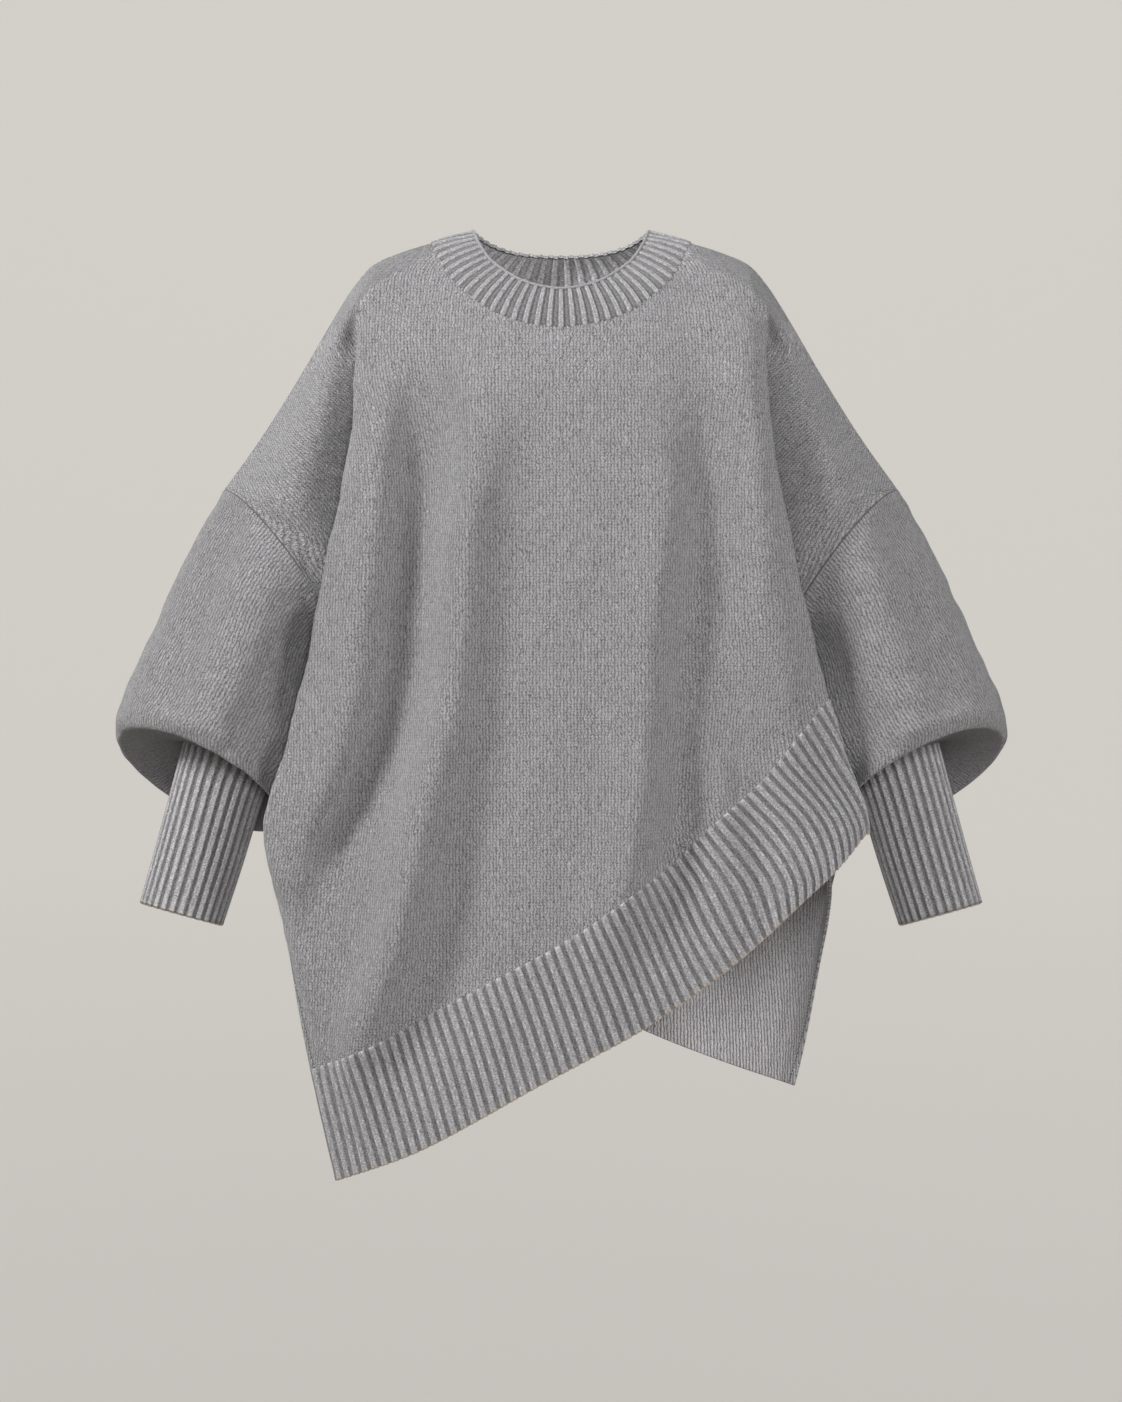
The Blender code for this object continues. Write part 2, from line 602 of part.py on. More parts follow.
def build_collar(front_edge, back_edge):
    """The ribbed band standing on the neckline of both panels.

    Each edge is a neckline's points and the directions its wall faces.
    """
    lower = []
    upper = []
    seam_facing = []
    for edge, top, ribs, turn in ((front_edge, COLLAR_TOP_FRONT, COLLAR_RIBS_FRONT, 1.0),
                                  (back_edge, COLLAR_TOP_BACK, COLLAR_RIBS_BACK, -1.0)):
        flip = np.array([turn, turn, 1.0])
        line = edge[0].copy()
        line[[0, -1], 1] = 0.0
        parts = np.arange(2 * ribs) / (2 * ribs)
        points, facing = read_edge((line, edge[1]), parts)
        lower.append(points * flip)
        seam_facing.append(facing * flip)
        half = np.array(top, dtype=float)
        half[:, 1] = -np.abs(half[:, 1])
        whole = np.concatenate([half * np.array([-1.0, 1.0, 1.0]), half[-2::-1]])
        upper.append(along(whole, parts) * flip)
    lower = np.concatenate(lower)
    upper = np.concatenate(upper)
    middle = (lower + upper) / 2
    middle += 3.0 * unit(middle * np.array([1.0, 1.0, 0.0]))
    points = np.array([lower, (lower + middle) / 2, middle, (middle + upper) / 2, upper])
    points[0] += SEAM_GAP * unit(points[1] - points[0])
    facing = normals(points, True)
    if np.sum(facing[..., :2] * points[..., :2]) < 0:
        facing = -facing
    facing[0] = unit(np.concatenate(seam_facing))
    rises = np.where(np.arange(points.shape[1]) % 2 == 1, RIB_RISE, 0.0)
    outer = points + facing * rises[None, :, None]
    wall("collar_rib", outer[::-1], (points - WALL * facing)[::-1], True)


def main():
    clear_scene()
    front = Panel(FRONT_CUTS, FRONT_NECKLINE, FRONT_HEM, FRONT_SLIT, FRONT_FOLDS,
                  ARMHOLE_LEAN, BAND_HEM)
    back = Panel(BACK_CUTS, BACK_NECKLINE, BACK_HEM, BACK_SLIT, BACK_FOLDS, -ARMHOLE_LEAN)
    front_neck, front_hem = panel_wall("front_panel", front, 1.0)
    back_neck, _ = panel_wall("back_panel", back, -1.0)
    build_hem(front, front_hem)
    build_collar(front_neck, back_neck)
    build_arm("left", 1)
    build_arm("right", -1)


main()
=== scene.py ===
"""Poncho sweater in soft heathered grey knit, filled out as worn, with nobody in it.

Every piece of cloth is a thin closed shell worked out on a grid of two
parameters: its place across the cloth and its place down it.  Lengths are in
millimetres until a mesh is written.  +X is the sweater's left side, +Z is up
and the front faces -Y.
"""

import logging
import math
from dataclasses import dataclass, field
from enum import Enum
from typing import Any

import bpy
import numpy as np
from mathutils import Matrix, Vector


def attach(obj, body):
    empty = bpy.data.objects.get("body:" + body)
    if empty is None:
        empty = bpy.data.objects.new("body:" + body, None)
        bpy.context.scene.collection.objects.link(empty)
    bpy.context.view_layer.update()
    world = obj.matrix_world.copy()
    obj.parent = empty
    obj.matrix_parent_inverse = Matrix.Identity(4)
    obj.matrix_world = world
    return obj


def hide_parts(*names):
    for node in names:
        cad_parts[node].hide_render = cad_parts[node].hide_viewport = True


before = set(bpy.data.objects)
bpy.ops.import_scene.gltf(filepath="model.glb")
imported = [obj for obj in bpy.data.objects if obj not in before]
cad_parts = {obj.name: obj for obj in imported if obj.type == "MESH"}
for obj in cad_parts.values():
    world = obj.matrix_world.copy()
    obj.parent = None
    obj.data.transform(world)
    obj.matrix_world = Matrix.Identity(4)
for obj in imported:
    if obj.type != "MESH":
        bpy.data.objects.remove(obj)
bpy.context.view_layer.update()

LOG = logging.getLogger("sweater")
Array = np.ndarray
MM = 0.001
# Height of the rendered picture in pixels, and the air between cloths at a seam.
PICTURE_HEIGHT = 1402
SEAM_GAP = 0.4
# Width of a wale and height of a course on the plain knit, and its thickness.
WALE = 3.2
COURSE = 2.7
THICK = 2.2


# ---------------------------------------------------------------- curves


def locate(at: Array, knots: Array) -> tuple[Array, Array, Array]:
    """The span of rising knots that holds each place, the part of it passed, its width."""
    span = np.clip(np.searchsorted(knots, at, side="right") - 1, 0, len(knots) - 2)
    width = (knots[span + 1] - knots[span])[..., None]
    return span, (at - knots[span])[..., None] / width, width


def knot_slopes(values: Array, step: Array) -> Array:
    """Slopes of values at knots, which run along the last axis but one.

    Formula: the mean of the slopes on both sides, each weighted by the
    length of the other side.
    """
    slope = np.diff(values, axis=-2) / step
    mean = slope[..., :-1, :] * step[1:] + slope[..., 1:, :] * step[:-1]
    return np.concatenate([slope[..., :1, :], mean / (step[1:] + step[:-1]), slope[..., -1:, :]],
                          axis=-2)


def cubic(part: Array, width: Array, ends: tuple[Array, ...], slopes: tuple[Array, ...]) -> Array:
    """The cubic between two values with the given slopes, at a part of its width."""
    return ((2 * part ** 3 - 3 * part ** 2 + 1) * ends[0]
            + (part ** 3 - 2 * part ** 2 + part) * width * slopes[0]
            + (3 * part ** 2 - 2 * part ** 3) * ends[1]
            + (part ** 3 - part ** 2) * width * slopes[1])


def smooth(at: Array, knots: Array, values: Array) -> Array:
    """A smooth curve of cubic pieces through values given at rising knots.

    Args:
        at: places to read, of any shape.
        knots: rising places of the known values.
        values: one value or vector for each knot.

    Returns:
        The values read, with the shape of at followed by that of one value.
    """
    knots = np.asarray(knots, dtype=float)
    values = np.asarray(values, dtype=float)
    at = np.clip(np.asarray(at, dtype=float), knots[0], knots[-1])
    flat = values.reshape(len(knots), -1)
    slopes = knot_slopes(flat, np.diff(knots)[:, None])
    span, part, width = locate(at, knots)
    result = cubic(part, width, (flat[span], flat[span + 1]), (slopes[span], slopes[span + 1]))
    return result.reshape(at.shape + values.shape[1:])


def lengths(points: Array) -> Array:
    """Distance along a line at each of its points, as a share of the whole."""
    steps = np.linalg.norm(np.diff(points, axis=0), axis=1)
    total = np.concatenate([[0.0], np.cumsum(steps)])
    return total / total[-1]


def along(points: Any, parts: Array) -> Array:
    """Points at equal parts of the length of a smooth curve through points."""
    points = np.asarray(points, dtype=float)
    fine = smooth(np.linspace(0, 1, 400), lengths(points), points)
    return smooth(parts, lengths(fine), fine)


def unit(vectors: Array) -> Array:
    """Vectors scaled to a length of one."""
    return vectors / np.maximum(np.linalg.norm(vectors, axis=-1, keepdims=True), 1e-9)


def ease(at: Array, start: float, end: float) -> Array:
    """A soft step: 0 before start, 1 after end, with level ends between."""
    part = np.clip((np.asarray(at, dtype=float) - start) / (end - start), 0, 1)
    return part * part * (3 - 2 * part)


def band(at: Array, start: float, full: float, fade: float, end: float) -> Array:
    """A soft band: rises from start to full, and falls again from fade to end."""
    return ease(at, start, full) * (1 - ease(at, fade, end))


def bell(off: Array, width: float | Array) -> Array:
    """A bell curve: 1 at the middle, falling over a width on both sides."""
    return np.exp(-0.5 * (off / width) ** 2)


def tangents(points: Array, axis: int, wrap: bool) -> Array:
    """Mean of the directions to the points before and after each one."""
    before = unit(points - np.roll(points, 1, axis=axis))
    after = unit(np.roll(points, -1, axis=axis) - points)
    if not wrap:
        first, last = ((slice(None),) * axis + (end,) for end in (0, -1))
        before[first] = after[first]
        after[last] = before[last]
    return unit(before + after)


def normals(points: Array, wrap: bool) -> Array:
    """Unit directions out of a grid's face: across the rows and the columns."""
    return unit(np.cross(tangents(points, 0, False), tangents(points, 1, wrap)))


def run_down(points: Array, wrap: bool) -> Array:
    """Distance down each column of a grid from its first row.

    A tube's first column comes once more at its end.
    """
    drop = np.cumsum(np.linalg.norm(np.diff(points, axis=0), axis=2), axis=0)
    drop = np.concatenate([np.zeros((1, points.shape[1])), drop])
    return np.concatenate([drop, drop[:, :1]], axis=1) if wrap else drop


def uneven(first: Array, second: Array, size: float, seed: int) -> Array:
    """Slow uneven waves over a surface, from about -1 to 1.

    Formula: the sum of seven sine waves that run in different directions,
    each a little finer than the one before, over its usual tallest value.

    Args:
        first: one coordinate of each point, in millimetres.
        second: the other coordinate.
        size: length of the slowest wave.
        seed: number that picks directions and starts.

    Returns:
        The height at each point.
    """
    waves, finer, tallest = 7, 1.22, 3.2
    pick = np.random.default_rng(seed)
    turn = pick.uniform(0, math.tau, waves)
    start = pick.uniform(0, math.tau, waves)
    total = np.zeros(np.broadcast(first, second).shape)
    for number in range(waves):
        way = first * math.cos(turn[number]) + second * math.sin(turn[number])
        total += np.sin(math.tau * way / size * finer ** number + start[number])
    return total / tallest


# ---------------------------------------------------------------- meshes


@dataclass
class Shell:
    """A closed sheet of cloth between two faces, with a rounded rim.

    Attributes:
        outer: grid of points of the outer face, rows by columns.
        inner: matching grid of the inner face.
        cloth: place of each point on the flat knit, in wales and courses. A
            tube has one column more than its points.
        wrap: whether the columns close into a tube.
        trim: rows at the last end whose yarn is the paler casting-off yarn.
        groove: painted shade of each column by its depth between ribs, outside and inside.
    """

    outer: Array
    inner: Array
    cloth: Array
    wrap: bool
    trim: int = 0
    groove: tuple[Array, Array] | None = None

    # Turns of the rim's rings, and what is added to the inner face's painted shading:
    # a negative amount, painted light that draws the inner face paler to make up for
    # the shade in there.
    RIM_TURNS = (0.25, 0.5, 0.75)
    INSIDE_PAINTED_LIGHT = -1.35

    def rim_ways(self) -> Array:
        """Directions out of the sheet at its border, zero inside it."""
        ways = np.zeros_like(self.outer)
        for end, before in ((0, 1), (-1, -2)):
            ways[end] += unit(self.outer[end] - self.outer[before])
            if not self.wrap:
                ways[:, end] += unit(self.outer[:, end] - self.outer[:, before])
        return ways

    def borders(self) -> list[tuple[Array, Array]]:
        """The border loops, as grid indices and the matching cloth indices."""
        rows, columns = self.outer.shape[:2]
        wide = self.cloth.shape[1]
        across = np.arange(columns)
        if self.wrap:
            return [(across, across), ((rows - 1) * columns + across, (rows - 1) * wide + across)]
        down = np.arange(1, rows)
        row = np.concatenate([0 * across, down, 0 * across[1:] + rows - 1, down[-2::-1]])
        column = np.concatenate([across, 0 * down + columns - 1, across[-2::-1], 0 * down[1:]])
        return [(row * columns + column, row * wide + column)]

    def arrays(self) -> tuple[Array, Array, Array, Array, Array]:
        """The whole shell.

        Formula: two grids of quads, joined round their border by half a
        turn of rim, whose radius is half of the sheet's thickness.

        Returns:
            The points, the quads, the cloth places of the quads' corners,
            and the share of trim yarn and of painted shading at each point.
        """
        rows, columns = self.outer.shape[:2]
        wide = self.cloth.shape[1]
        count = rows * columns
        points = [self.outer.reshape(-1, 3), self.inner.reshape(-1, 3)]
        row, column = np.meshgrid(np.arange(rows - 1),
                                  np.arange(columns if self.wrap else columns - 1), indexing="ij")
        row, column = row.ravel(), column.ravel()
        face, spot = (np.stack([row * size + column, (row + 1) * size + column,
                                (row + 1) * size + after, row * size + after], axis=1)
                      for size, after in ((columns, (column + 1) % columns), (wide, column + 1)))
        faces = [face, face[:, ::-1] + count]
        spots = [spot, spot[:, ::-1]]
        trim = np.repeat(np.arange(rows) >= rows - self.trim, columns).astype(float)
        trims = [trim, trim]
        # Painted shade between ribs and under the sleeves' puffs, with painted light added on the
        # inner face to draw it paler.
        depth = self.groove or (np.zeros(columns), np.zeros(columns))
        depth = (depth[0], depth[1] + self.INSIDE_PAINTED_LIGHT)
        painted_shadings = [np.broadcast_to(part, (rows, columns)).ravel() for part in depth]
        ways = self.rim_ways().reshape(-1, 3)
        start = 2 * count
        for grid, cloth in self.borders():
            loop = len(grid)
            top, low = points[0][grid], points[1][grid]
            middle, half = (top + low) / 2, (top - low) / 2
            size = np.linalg.norm(half, axis=1, keepdims=True)
            way = ways[grid] - unit(half) * np.sum(ways[grid] * unit(half), axis=1, keepdims=True)
            way = unit(way) * size
            rings = [grid]
            for turn in self.RIM_TURNS:
                points.append(middle + half * math.cos(math.pi * turn)
                              + way * math.sin(math.pi * turn))
                rings.append(start + np.arange(loop))
                trims.append(trim[grid])
                # The rim gets half of the outer face's painted shade.
                painted_shadings.append(painted_shadings[0][grid] * 0.5)
                start += loop
            rings.append(grid + count)
            there = cloth + 1 if self.wrap else np.roll(cloth, -1)
            for one, two in zip(rings, rings[1:]):
                faces.append(np.stack([one, np.roll(one, -1), np.roll(two, -1), two], axis=1))
                spots.append(np.stack([cloth, there, there, cloth], axis=1))
        return (np.concatenate(points), np.concatenate(faces),
                self.cloth.reshape(-1, 2)[np.concatenate(spots)],
                np.concatenate(trims), np.concatenate(painted_shadings))


def face_out(points: Array, faces: Array) -> bool:
    """Whether a closed mesh's quads point outwards, from its signed volume."""
    a, b, c, d = (points[faces[:, k]] for k in range(4))
    volume = np.sum(np.cross(b - a, c - a) * a) + np.sum(np.cross(c - a, d - a) * a)
    return bool(volume > 0)


def add_object(name: str, data: bpy.types.ID) -> bpy.types.Object:
    """Add an object to the scene."""
    item = bpy.data.objects.new(name, data)
    bpy.context.scene.collection.objects.link(item)
    return item


def make_piece(name: str, node: str, material: bpy.types.Material, points: Array,
               faces: Array, cloth: Array | None = None, trim: Array | None = None,
               groove: Array | None = None, stands_for: bool = True) -> bpy.types.Object:
    """Write a closed mesh as a piece of the sweater.

    Args:
        name: name of the piece.
        node: CAD node that it stands for or lies on.
        material: finish.
        points: points in millimetres.
        faces: quads.
        cloth: place on the knit of each corner of each quad.
        trim: share of trim yarn at each point.
        groove: painted shade at each point from its depth between ribs,
        from 0 to about 1, and below 0 painted light that draws the yarn paler.
        stands_for: whether the piece replaces the node.

    Returns:
        The new object.
    """
    if not face_out(points, faces):
        faces = faces[:, ::-1]
        cloth = None if cloth is None else cloth[:, ::-1]
    mesh = bpy.data.meshes.new(name)
    mesh.vertices.add(len(points))
    mesh.vertices.foreach_set("co", (points * MM).ravel())
    mesh.loops.add(faces.size)
    mesh.loops.foreach_set("vertex_index", faces.ravel().astype(np.int32))
    mesh.polygons.add(len(faces))
    mesh.polygons.foreach_set("loop_start", np.arange(0, faces.size, 4, dtype=np.int32))
    mesh.polygons.foreach_set("use_smooth", np.ones(len(faces), dtype=bool))
    mesh.update(calc_edges=True)
    if cloth is not None:
        layer = mesh.uv_layers.new(name="knit")
        layer.data.foreach_set("uv", cloth.reshape(-1, 2).ravel())
    for label, values in (("trim", trim), ("groove", groove)):
        share = mesh.attributes.new(label, "FLOAT", "POINT")
        share.data.foreach_set("value", np.zeros(len(points)) if values is None else values)
    mesh.materials.append(material)
    piece = add_object(name, mesh)
    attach(piece, "root")
    if stands_for:
        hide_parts(node)
    LOG.info("%s: %d triangles", name, 2 * len(faces))
    return piece


def area_of(grid: Array, wrap: bool) -> float:
    """Area of a grid's face in square metres, as two triangles a cell."""
    if wrap:
        grid = np.concatenate([grid, grid[:, :1]], axis=1)
    one = np.cross(grid[1:, :-1] - grid[:-1, :-1], grid[:-1, 1:] - grid[:-1, :-1])
    two = np.cross(grid[1:, :-1] - grid[1:, 1:], grid[:-1, 1:] - grid[1:, 1:])
    return float(np.linalg.norm(one, axis=-1).sum() + np.linalg.norm(two, axis=-1).sum()) / 2e6


def make_sheet(name: str, node: str, finish: "BrushedWoolKnit", shell: Shell,
               grid: Array) -> bpy.types.Object:
    """Write a sheet of cloth as a piece and log the area of its grid."""
    LOG.info("%s: %.3f square metres", name, area_of(grid, shell.wrap))
    return make_piece(name, node, finish.material(), *shell.arrays())


def yarn_tube(path: Array, radius: float) -> tuple[Array, Array]:
    """A closed six-sided yarn along a path.

    Formula: rings across the path, the first and last about a third of the
    others in size, closed by two quads at each end.

    Args:
        path: points of the middle line.
        radius: half of the yarn's thickness.

    Returns:
        Points and quads.
    """
    sides = 6
    nearly_up = np.array([0.02, 0.03, 1.0])
    way = tangents(path[:, None, :].repeat(2, axis=1), 0, False)[:, 0]
    side = unit(np.cross(way, nearly_up))
    other = np.cross(way, side)
    angle = np.arange(sides) * math.tau / sides
    ring = (side[:, None] * np.cos(angle)[None, :, None]
            + other[:, None] * np.sin(angle)[None, :, None])
    size = np.full(len(path), radius)
    size[[0, -1]] = radius * 0.35
    points = path[:, None] + ring * size[:, None, None]
    row, column = np.meshgrid(np.arange(len(path) - 1), np.arange(sides), indexing="ij")
    row, column = row.ravel() * sides, column.ravel()
    after = (column + 1) % sides
    faces = np.stack([row + column, row + after, row + sides + after, row + sides + column],
                     axis=1)
    first = np.array([[0, 5, 4, 3], [0, 3, 2, 1]])
    last = first[:, ::-1] + (len(path) - 1) * sides
    return points.reshape(-1, 3), np.concatenate([faces, first, last])


def join(parts: list[tuple[Array, Array]]) -> tuple[Array, Array]:
    """Several meshes of points and quads as one."""
    starts = np.cumsum([0] + [len(points) for points, _ in parts[:-1]])
    return (np.concatenate([points for points, _ in parts]),
            np.concatenate([faces + start for (_, faces), start in zip(parts, starts)]))


# ---------------------------------------------------------------- finishes


def linear(code: str) -> tuple[float, float, float, float]:
    """A colour's linear value from its sRGB hex code."""
    parts = [int(code[k:k + 2], 16) / 255 for k in (1, 3, 5)]
    red, green, blue = (p / 12.92 if p <= 0.04045 else ((p + 0.055) / 1.055) ** 2.4
                        for p in parts)
    return red, green, blue, 1.0


def add_nodes(tree: bpy.types.NodeTree, steps: tuple[Any, ...]) -> dict[Any, Any]:
    """Add nodes one after the other, each fed by those before it.

    Args:
        tree: node tree to add to.
        steps: for each node, a name for the output that is read, Blender's
            name for its kind with its operation, which output it is, its
            inputs as values or names of earlier outputs, and any settings.

    Returns:
        The outputs by their names.
    """
    made: dict[Any, Any] = {}
    for name, kind, output, inputs, *settings in steps:
        kind, *operation = kind.split()
        node = tree.nodes.new("ShaderNode" + kind)
        for key, value in [*zip(("operation",), operation), *dict(*settings).items()]:
            setattr(node, key, value)
        for key, value in inputs.items():
            if value in made:
                tree.links.new(made[value], node.inputs[key])
            else:
                node.inputs[key].default_value = value
        made[name] = node.outputs[output]
    return made


@dataclass(frozen=True)
class BrushedWoolKnit:
    """Wool-blend stocking stitch, spun from pale and dark fibres, then brushed.

    The mixed fibres give small light and dark flecks, and the brushing gives
    a dull surface with a soft pale glow where it is seen edge on.

    Attributes:
        name: name of the material.
        light: colour of the pale fibres.
        dark: colour of the dark fibres.
        depth: depth of the stitches in millimetres, drawn a little deeper
            than the yarn's so that it shows at the size of the render.
        gap: how much painted shade darkens the gaps between stitches.
        lines: how much more the gaps between wales show than the courses.
        fleck: contrast of the mixed fibres.
        shake: how far the stitches stray from their places, in stitches.
        trim: colour of the casting-off yarn.
    """

    name: str
    light: str
    dark: str = "#38383a"
    depth: float = 1.1
    gap: float = 0.75
    lines: float = 0.3
    fleck: float = 1.0
    shake: float = 1.1
    trim: str = "#a89f96"

    # Turn of a leg's wave across half a wale, and scale of the flecks, which
    # are about 1.5 mm across, the length of fibre that shows in one stitch.
    LEAN = 1.7
    FLECKS = 640.0

    def stitches(self) -> tuple[Any, ...]:
        """Nodes for the height of the stitches.

        Formula: a wale's height is a half wave across it, times a wave
        along it whose start moves with the distance from its middle, which
        makes the two leaning legs.
        """
        return (
            ("place", "UVMap", 0, {}, {"uv_map": "knit"}),
            ("stray", "TexNoise", "Color", {"Vector": "place", "Scale": 0.6, "Detail": 3.0},
             {"noise_dimensions": "2D"}),
            ("stray", "VectorMath SUBTRACT", 0, {0: "stray", 1: (0.5, 0.5, 0.5)}),
            ("stray", "VectorMath SCALE", 0, {0: "stray", "Scale": self.shake}),
            ("moved", "VectorMath ADD", 0, {0: "place", 1: "stray"}),
            ("wale", "SeparateXYZ", 0, {0: "moved"}),
            ("course", "SeparateXYZ", 1, {0: "moved"}),
            ("inside", "Math FRACT", 0, {0: "wale"}),
            ("inside", "Math SUBTRACT", 0, {0: "inside", 1: 0.5}),
            ("inside", "Math ABSOLUTE", 0, {0: "inside"}),
            ("across", "Math MULTIPLY", 0, {0: "inside", 1: math.pi}),
            ("leg", "Math COSINE", 0, {0: "across"}),
            ("lean", "Math MULTIPLY_ADD", 0, {0: "inside", 1: self.LEAN, 2: "course"}),
            ("turn", "Math MULTIPLY", 0, {0: "lean", 1: math.tau}),
            ("wave", "Math COSINE", 0, {0: "turn"}),
            ("wave", "Math MULTIPLY_ADD", 0,
             {0: "wave", 1: 0.5 * (1 - self.lines), 2: 0.5 + 0.5 * self.lines}),
            ("height", "Math MULTIPLY", 0, {0: "leg", 1: "wave"}),
        )

    def colours(self) -> tuple[Any, ...]:
        """Nodes for the colour and the bump.

        Formula: each leg has a tone of its own, and fibres run along it.
        The tone falls where the stitches lie low, painted shade in the gaps between
        them; painted shading darkens it between ribs and under the sleeves' puffs,
        and below 0 it is painted light that makes it paler.
        """
        return (
            ("half", "Math MULTIPLY", 0, {0: "wale", 1: 2.0}),
            ("fibres", "CombineXYZ", 0, {0: "half", 1: "lean"}),
            ("stitch", "VectorMath FLOOR", 0, {0: "fibres"}),
            ("tone", "TexWhiteNoise", 0, {"Vector": "stitch"}, {"noise_dimensions": "2D"}),
            ("fibre", "TexNoise", 0,
             {"Vector": "fibres", "Scale": 1.7, "Detail": 2.0, "Roughness": 0.6}),
            ("solid", "TexCoord", "Object", {}),
            ("speck", "TexNoise", 0,
             {"Vector": "solid", "Scale": self.FLECKS, "Detail": 2.0, "Roughness": 0.7}),
            ("mixed", "Math ADD", 0, {0: "fibre", 1: "speck"}),
            ("mixed", "Math ADD", 0, {0: "mixed", 1: -1.0}),
            ("mixed", "Math MULTIPLY_ADD", 0, {0: "tone", 1: 0.22, 2: "mixed"}),
            ("mixed", "Math MULTIPLY_ADD", 0, {0: "mixed", 1: 0.9 * self.fleck, 2: 0.5}),
            # Painted shade: the low parts of the stitches, the gaps between them, get less of the
            # pale fibres.
            ("high", "Math MULTIPLY_ADD", 0, {0: "height", 1: self.gap * 2.2, 2: 1.1 - self.gap}),
            ("share", "Math MULTIPLY", 0, {0: "mixed", 1: "high"}, {"use_clamp": True}),
            ("colour", "Mix", 2, {0: "share", 6: linear(self.dark), 7: linear(self.light)},
             {"data_type": "RGBA"}),
            ("edge", "Attribute", "Fac", {}, {"attribute_name": "trim"}),
            ("edge", "Math MULTIPLY", 0, {0: "edge", 1: 0.75}),
            ("colour", "Mix", 2, {0: "edge", 6: "colour", 7: linear(self.trim)},
             {"data_type": "RGBA"}),
            # Painted shade between ribs and under the sleeves' puffs darkens the colour, by 62% at
            # a share of 1; below 0 it is painted light that draws it paler.
            ("groove", "Attribute", "Fac", {}, {"attribute_name": "groove"}),
            ("groove", "Math MULTIPLY_ADD", 0, {0: "groove", 1: -0.62, 2: 1.0}),
            ("colour", "Mix", 2, {0: 1.0, 6: "colour", 7: "groove"},
             {"data_type": "RGBA", "blend_type": "MULTIPLY"}),
            ("fuzz", "Math MULTIPLY_ADD", 0, {0: "mixed", 1: 0.5, 2: "height"}),
            ("bump", "Bump", 0, {"Height": "fuzz", "Distance": self.depth * MM, "Strength": 1.0}),
        )

    def material(self) -> bpy.types.Material:
        """The knit's material, read from its place on the flat knit."""
        item = bpy.data.materials.new(self.name)
        item.use_nodes = True
        tree = item.node_tree
        shader = tree.nodes["Principled BSDF"]
        made = add_nodes(tree, self.stitches() + self.colours())
        tree.links.new(made["colour"], shader.inputs["Base Color"])
        tree.links.new(made["bump"], shader.inputs["Normal"])
        shader.inputs["Roughness"].default_value = 0.95
        shader.inputs["Specular IOR Level"].default_value = 0.2
        shader.inputs["IOR"].default_value = 1.45
        shader.inputs["Sheen Weight"].default_value = 0.25
        shader.inputs["Sheen Roughness"].default_value = 0.5
        return item


@dataclass(frozen=True)
class PaintedPaper:
    """Plain matt paper, paler at its top, lit through from behind where it is far."""

    name: str = "pale_paper"
    top: str = "#bfbcb7"
    low: str = "#b5b2ae"

    def material(self) -> bpy.types.Material:
        """The paper's material: its colour goes by height, its glow by distance behind."""
        item = bpy.data.materials.new(self.name)
        item.use_nodes = True
        tree = item.node_tree
        shader = tree.nodes["Principled BSDF"]
        made = add_nodes(tree, (
            ("solid", "TexCoord", "Object", {}),
            ("behind", "SeparateXYZ", 1, {0: "solid"}),
            ("height", "SeparateXYZ", 2, {0: "solid"}),
            ("share", "MapRange", 0, {0: "height", 1: -1.9, 2: 1.0}),
            ("glow", "MapRange", 0, {0: "behind", 1: 3.5, 2: 8.0, 4: 0.8}),
            ("colour", "Mix", 2, {0: "share", 6: linear(self.low), 7: linear(self.top)},
             {"data_type": "RGBA"}),
        ))
        for result, socket in (("colour", "Base Color"), ("colour", "Emission Color"),
                               ("glow", "Emission Strength")):
            tree.links.new(made[result], shader.inputs[socket])
        shader.inputs["Roughness"].default_value = 0.95
        shader.inputs["Specular IOR Level"].default_value = 0.1
        return item


# ---------------------------------------------------------------- sizes


@dataclass(frozen=True)
class Fold:
    """A lengthwise fold: a soft ridge, or a trough if its rise is negative.

    Attributes:
        path: points (x, height) of its line, from the top down.
        near: width of its slope on the side of smaller x.
        far: width of the other slope.
        rise: height of the ridge at its middle.
    """

    path: tuple[tuple[float, float], ...]
    near: float
    far: float
    rise: float

    def height(self, x: Array, z: Array, reach: float = 95.0) -> Array:
        """Rise at points of the cloth.

        Formula: a bell curve over the distance from the line, with its own
        width on each side, faded in and out over twice the reach.
        """
        line = np.array(self.path[::-1], dtype=float)
        off = x - smooth(z, line[:, 1], line[:, 0])
        width = np.where(off < 0, self.near, self.far)
        top, low = -line[-1, 1], -line[0, 1]
        ends = band(-z, top - reach, top + reach, low - reach, low + reach)
        return self.rise * ends * bell(off, width)


class Face(Enum):
    """The way a body panel faces, as the turn of its x and y."""

    FRONT = 1.0
    BACK = -1.0


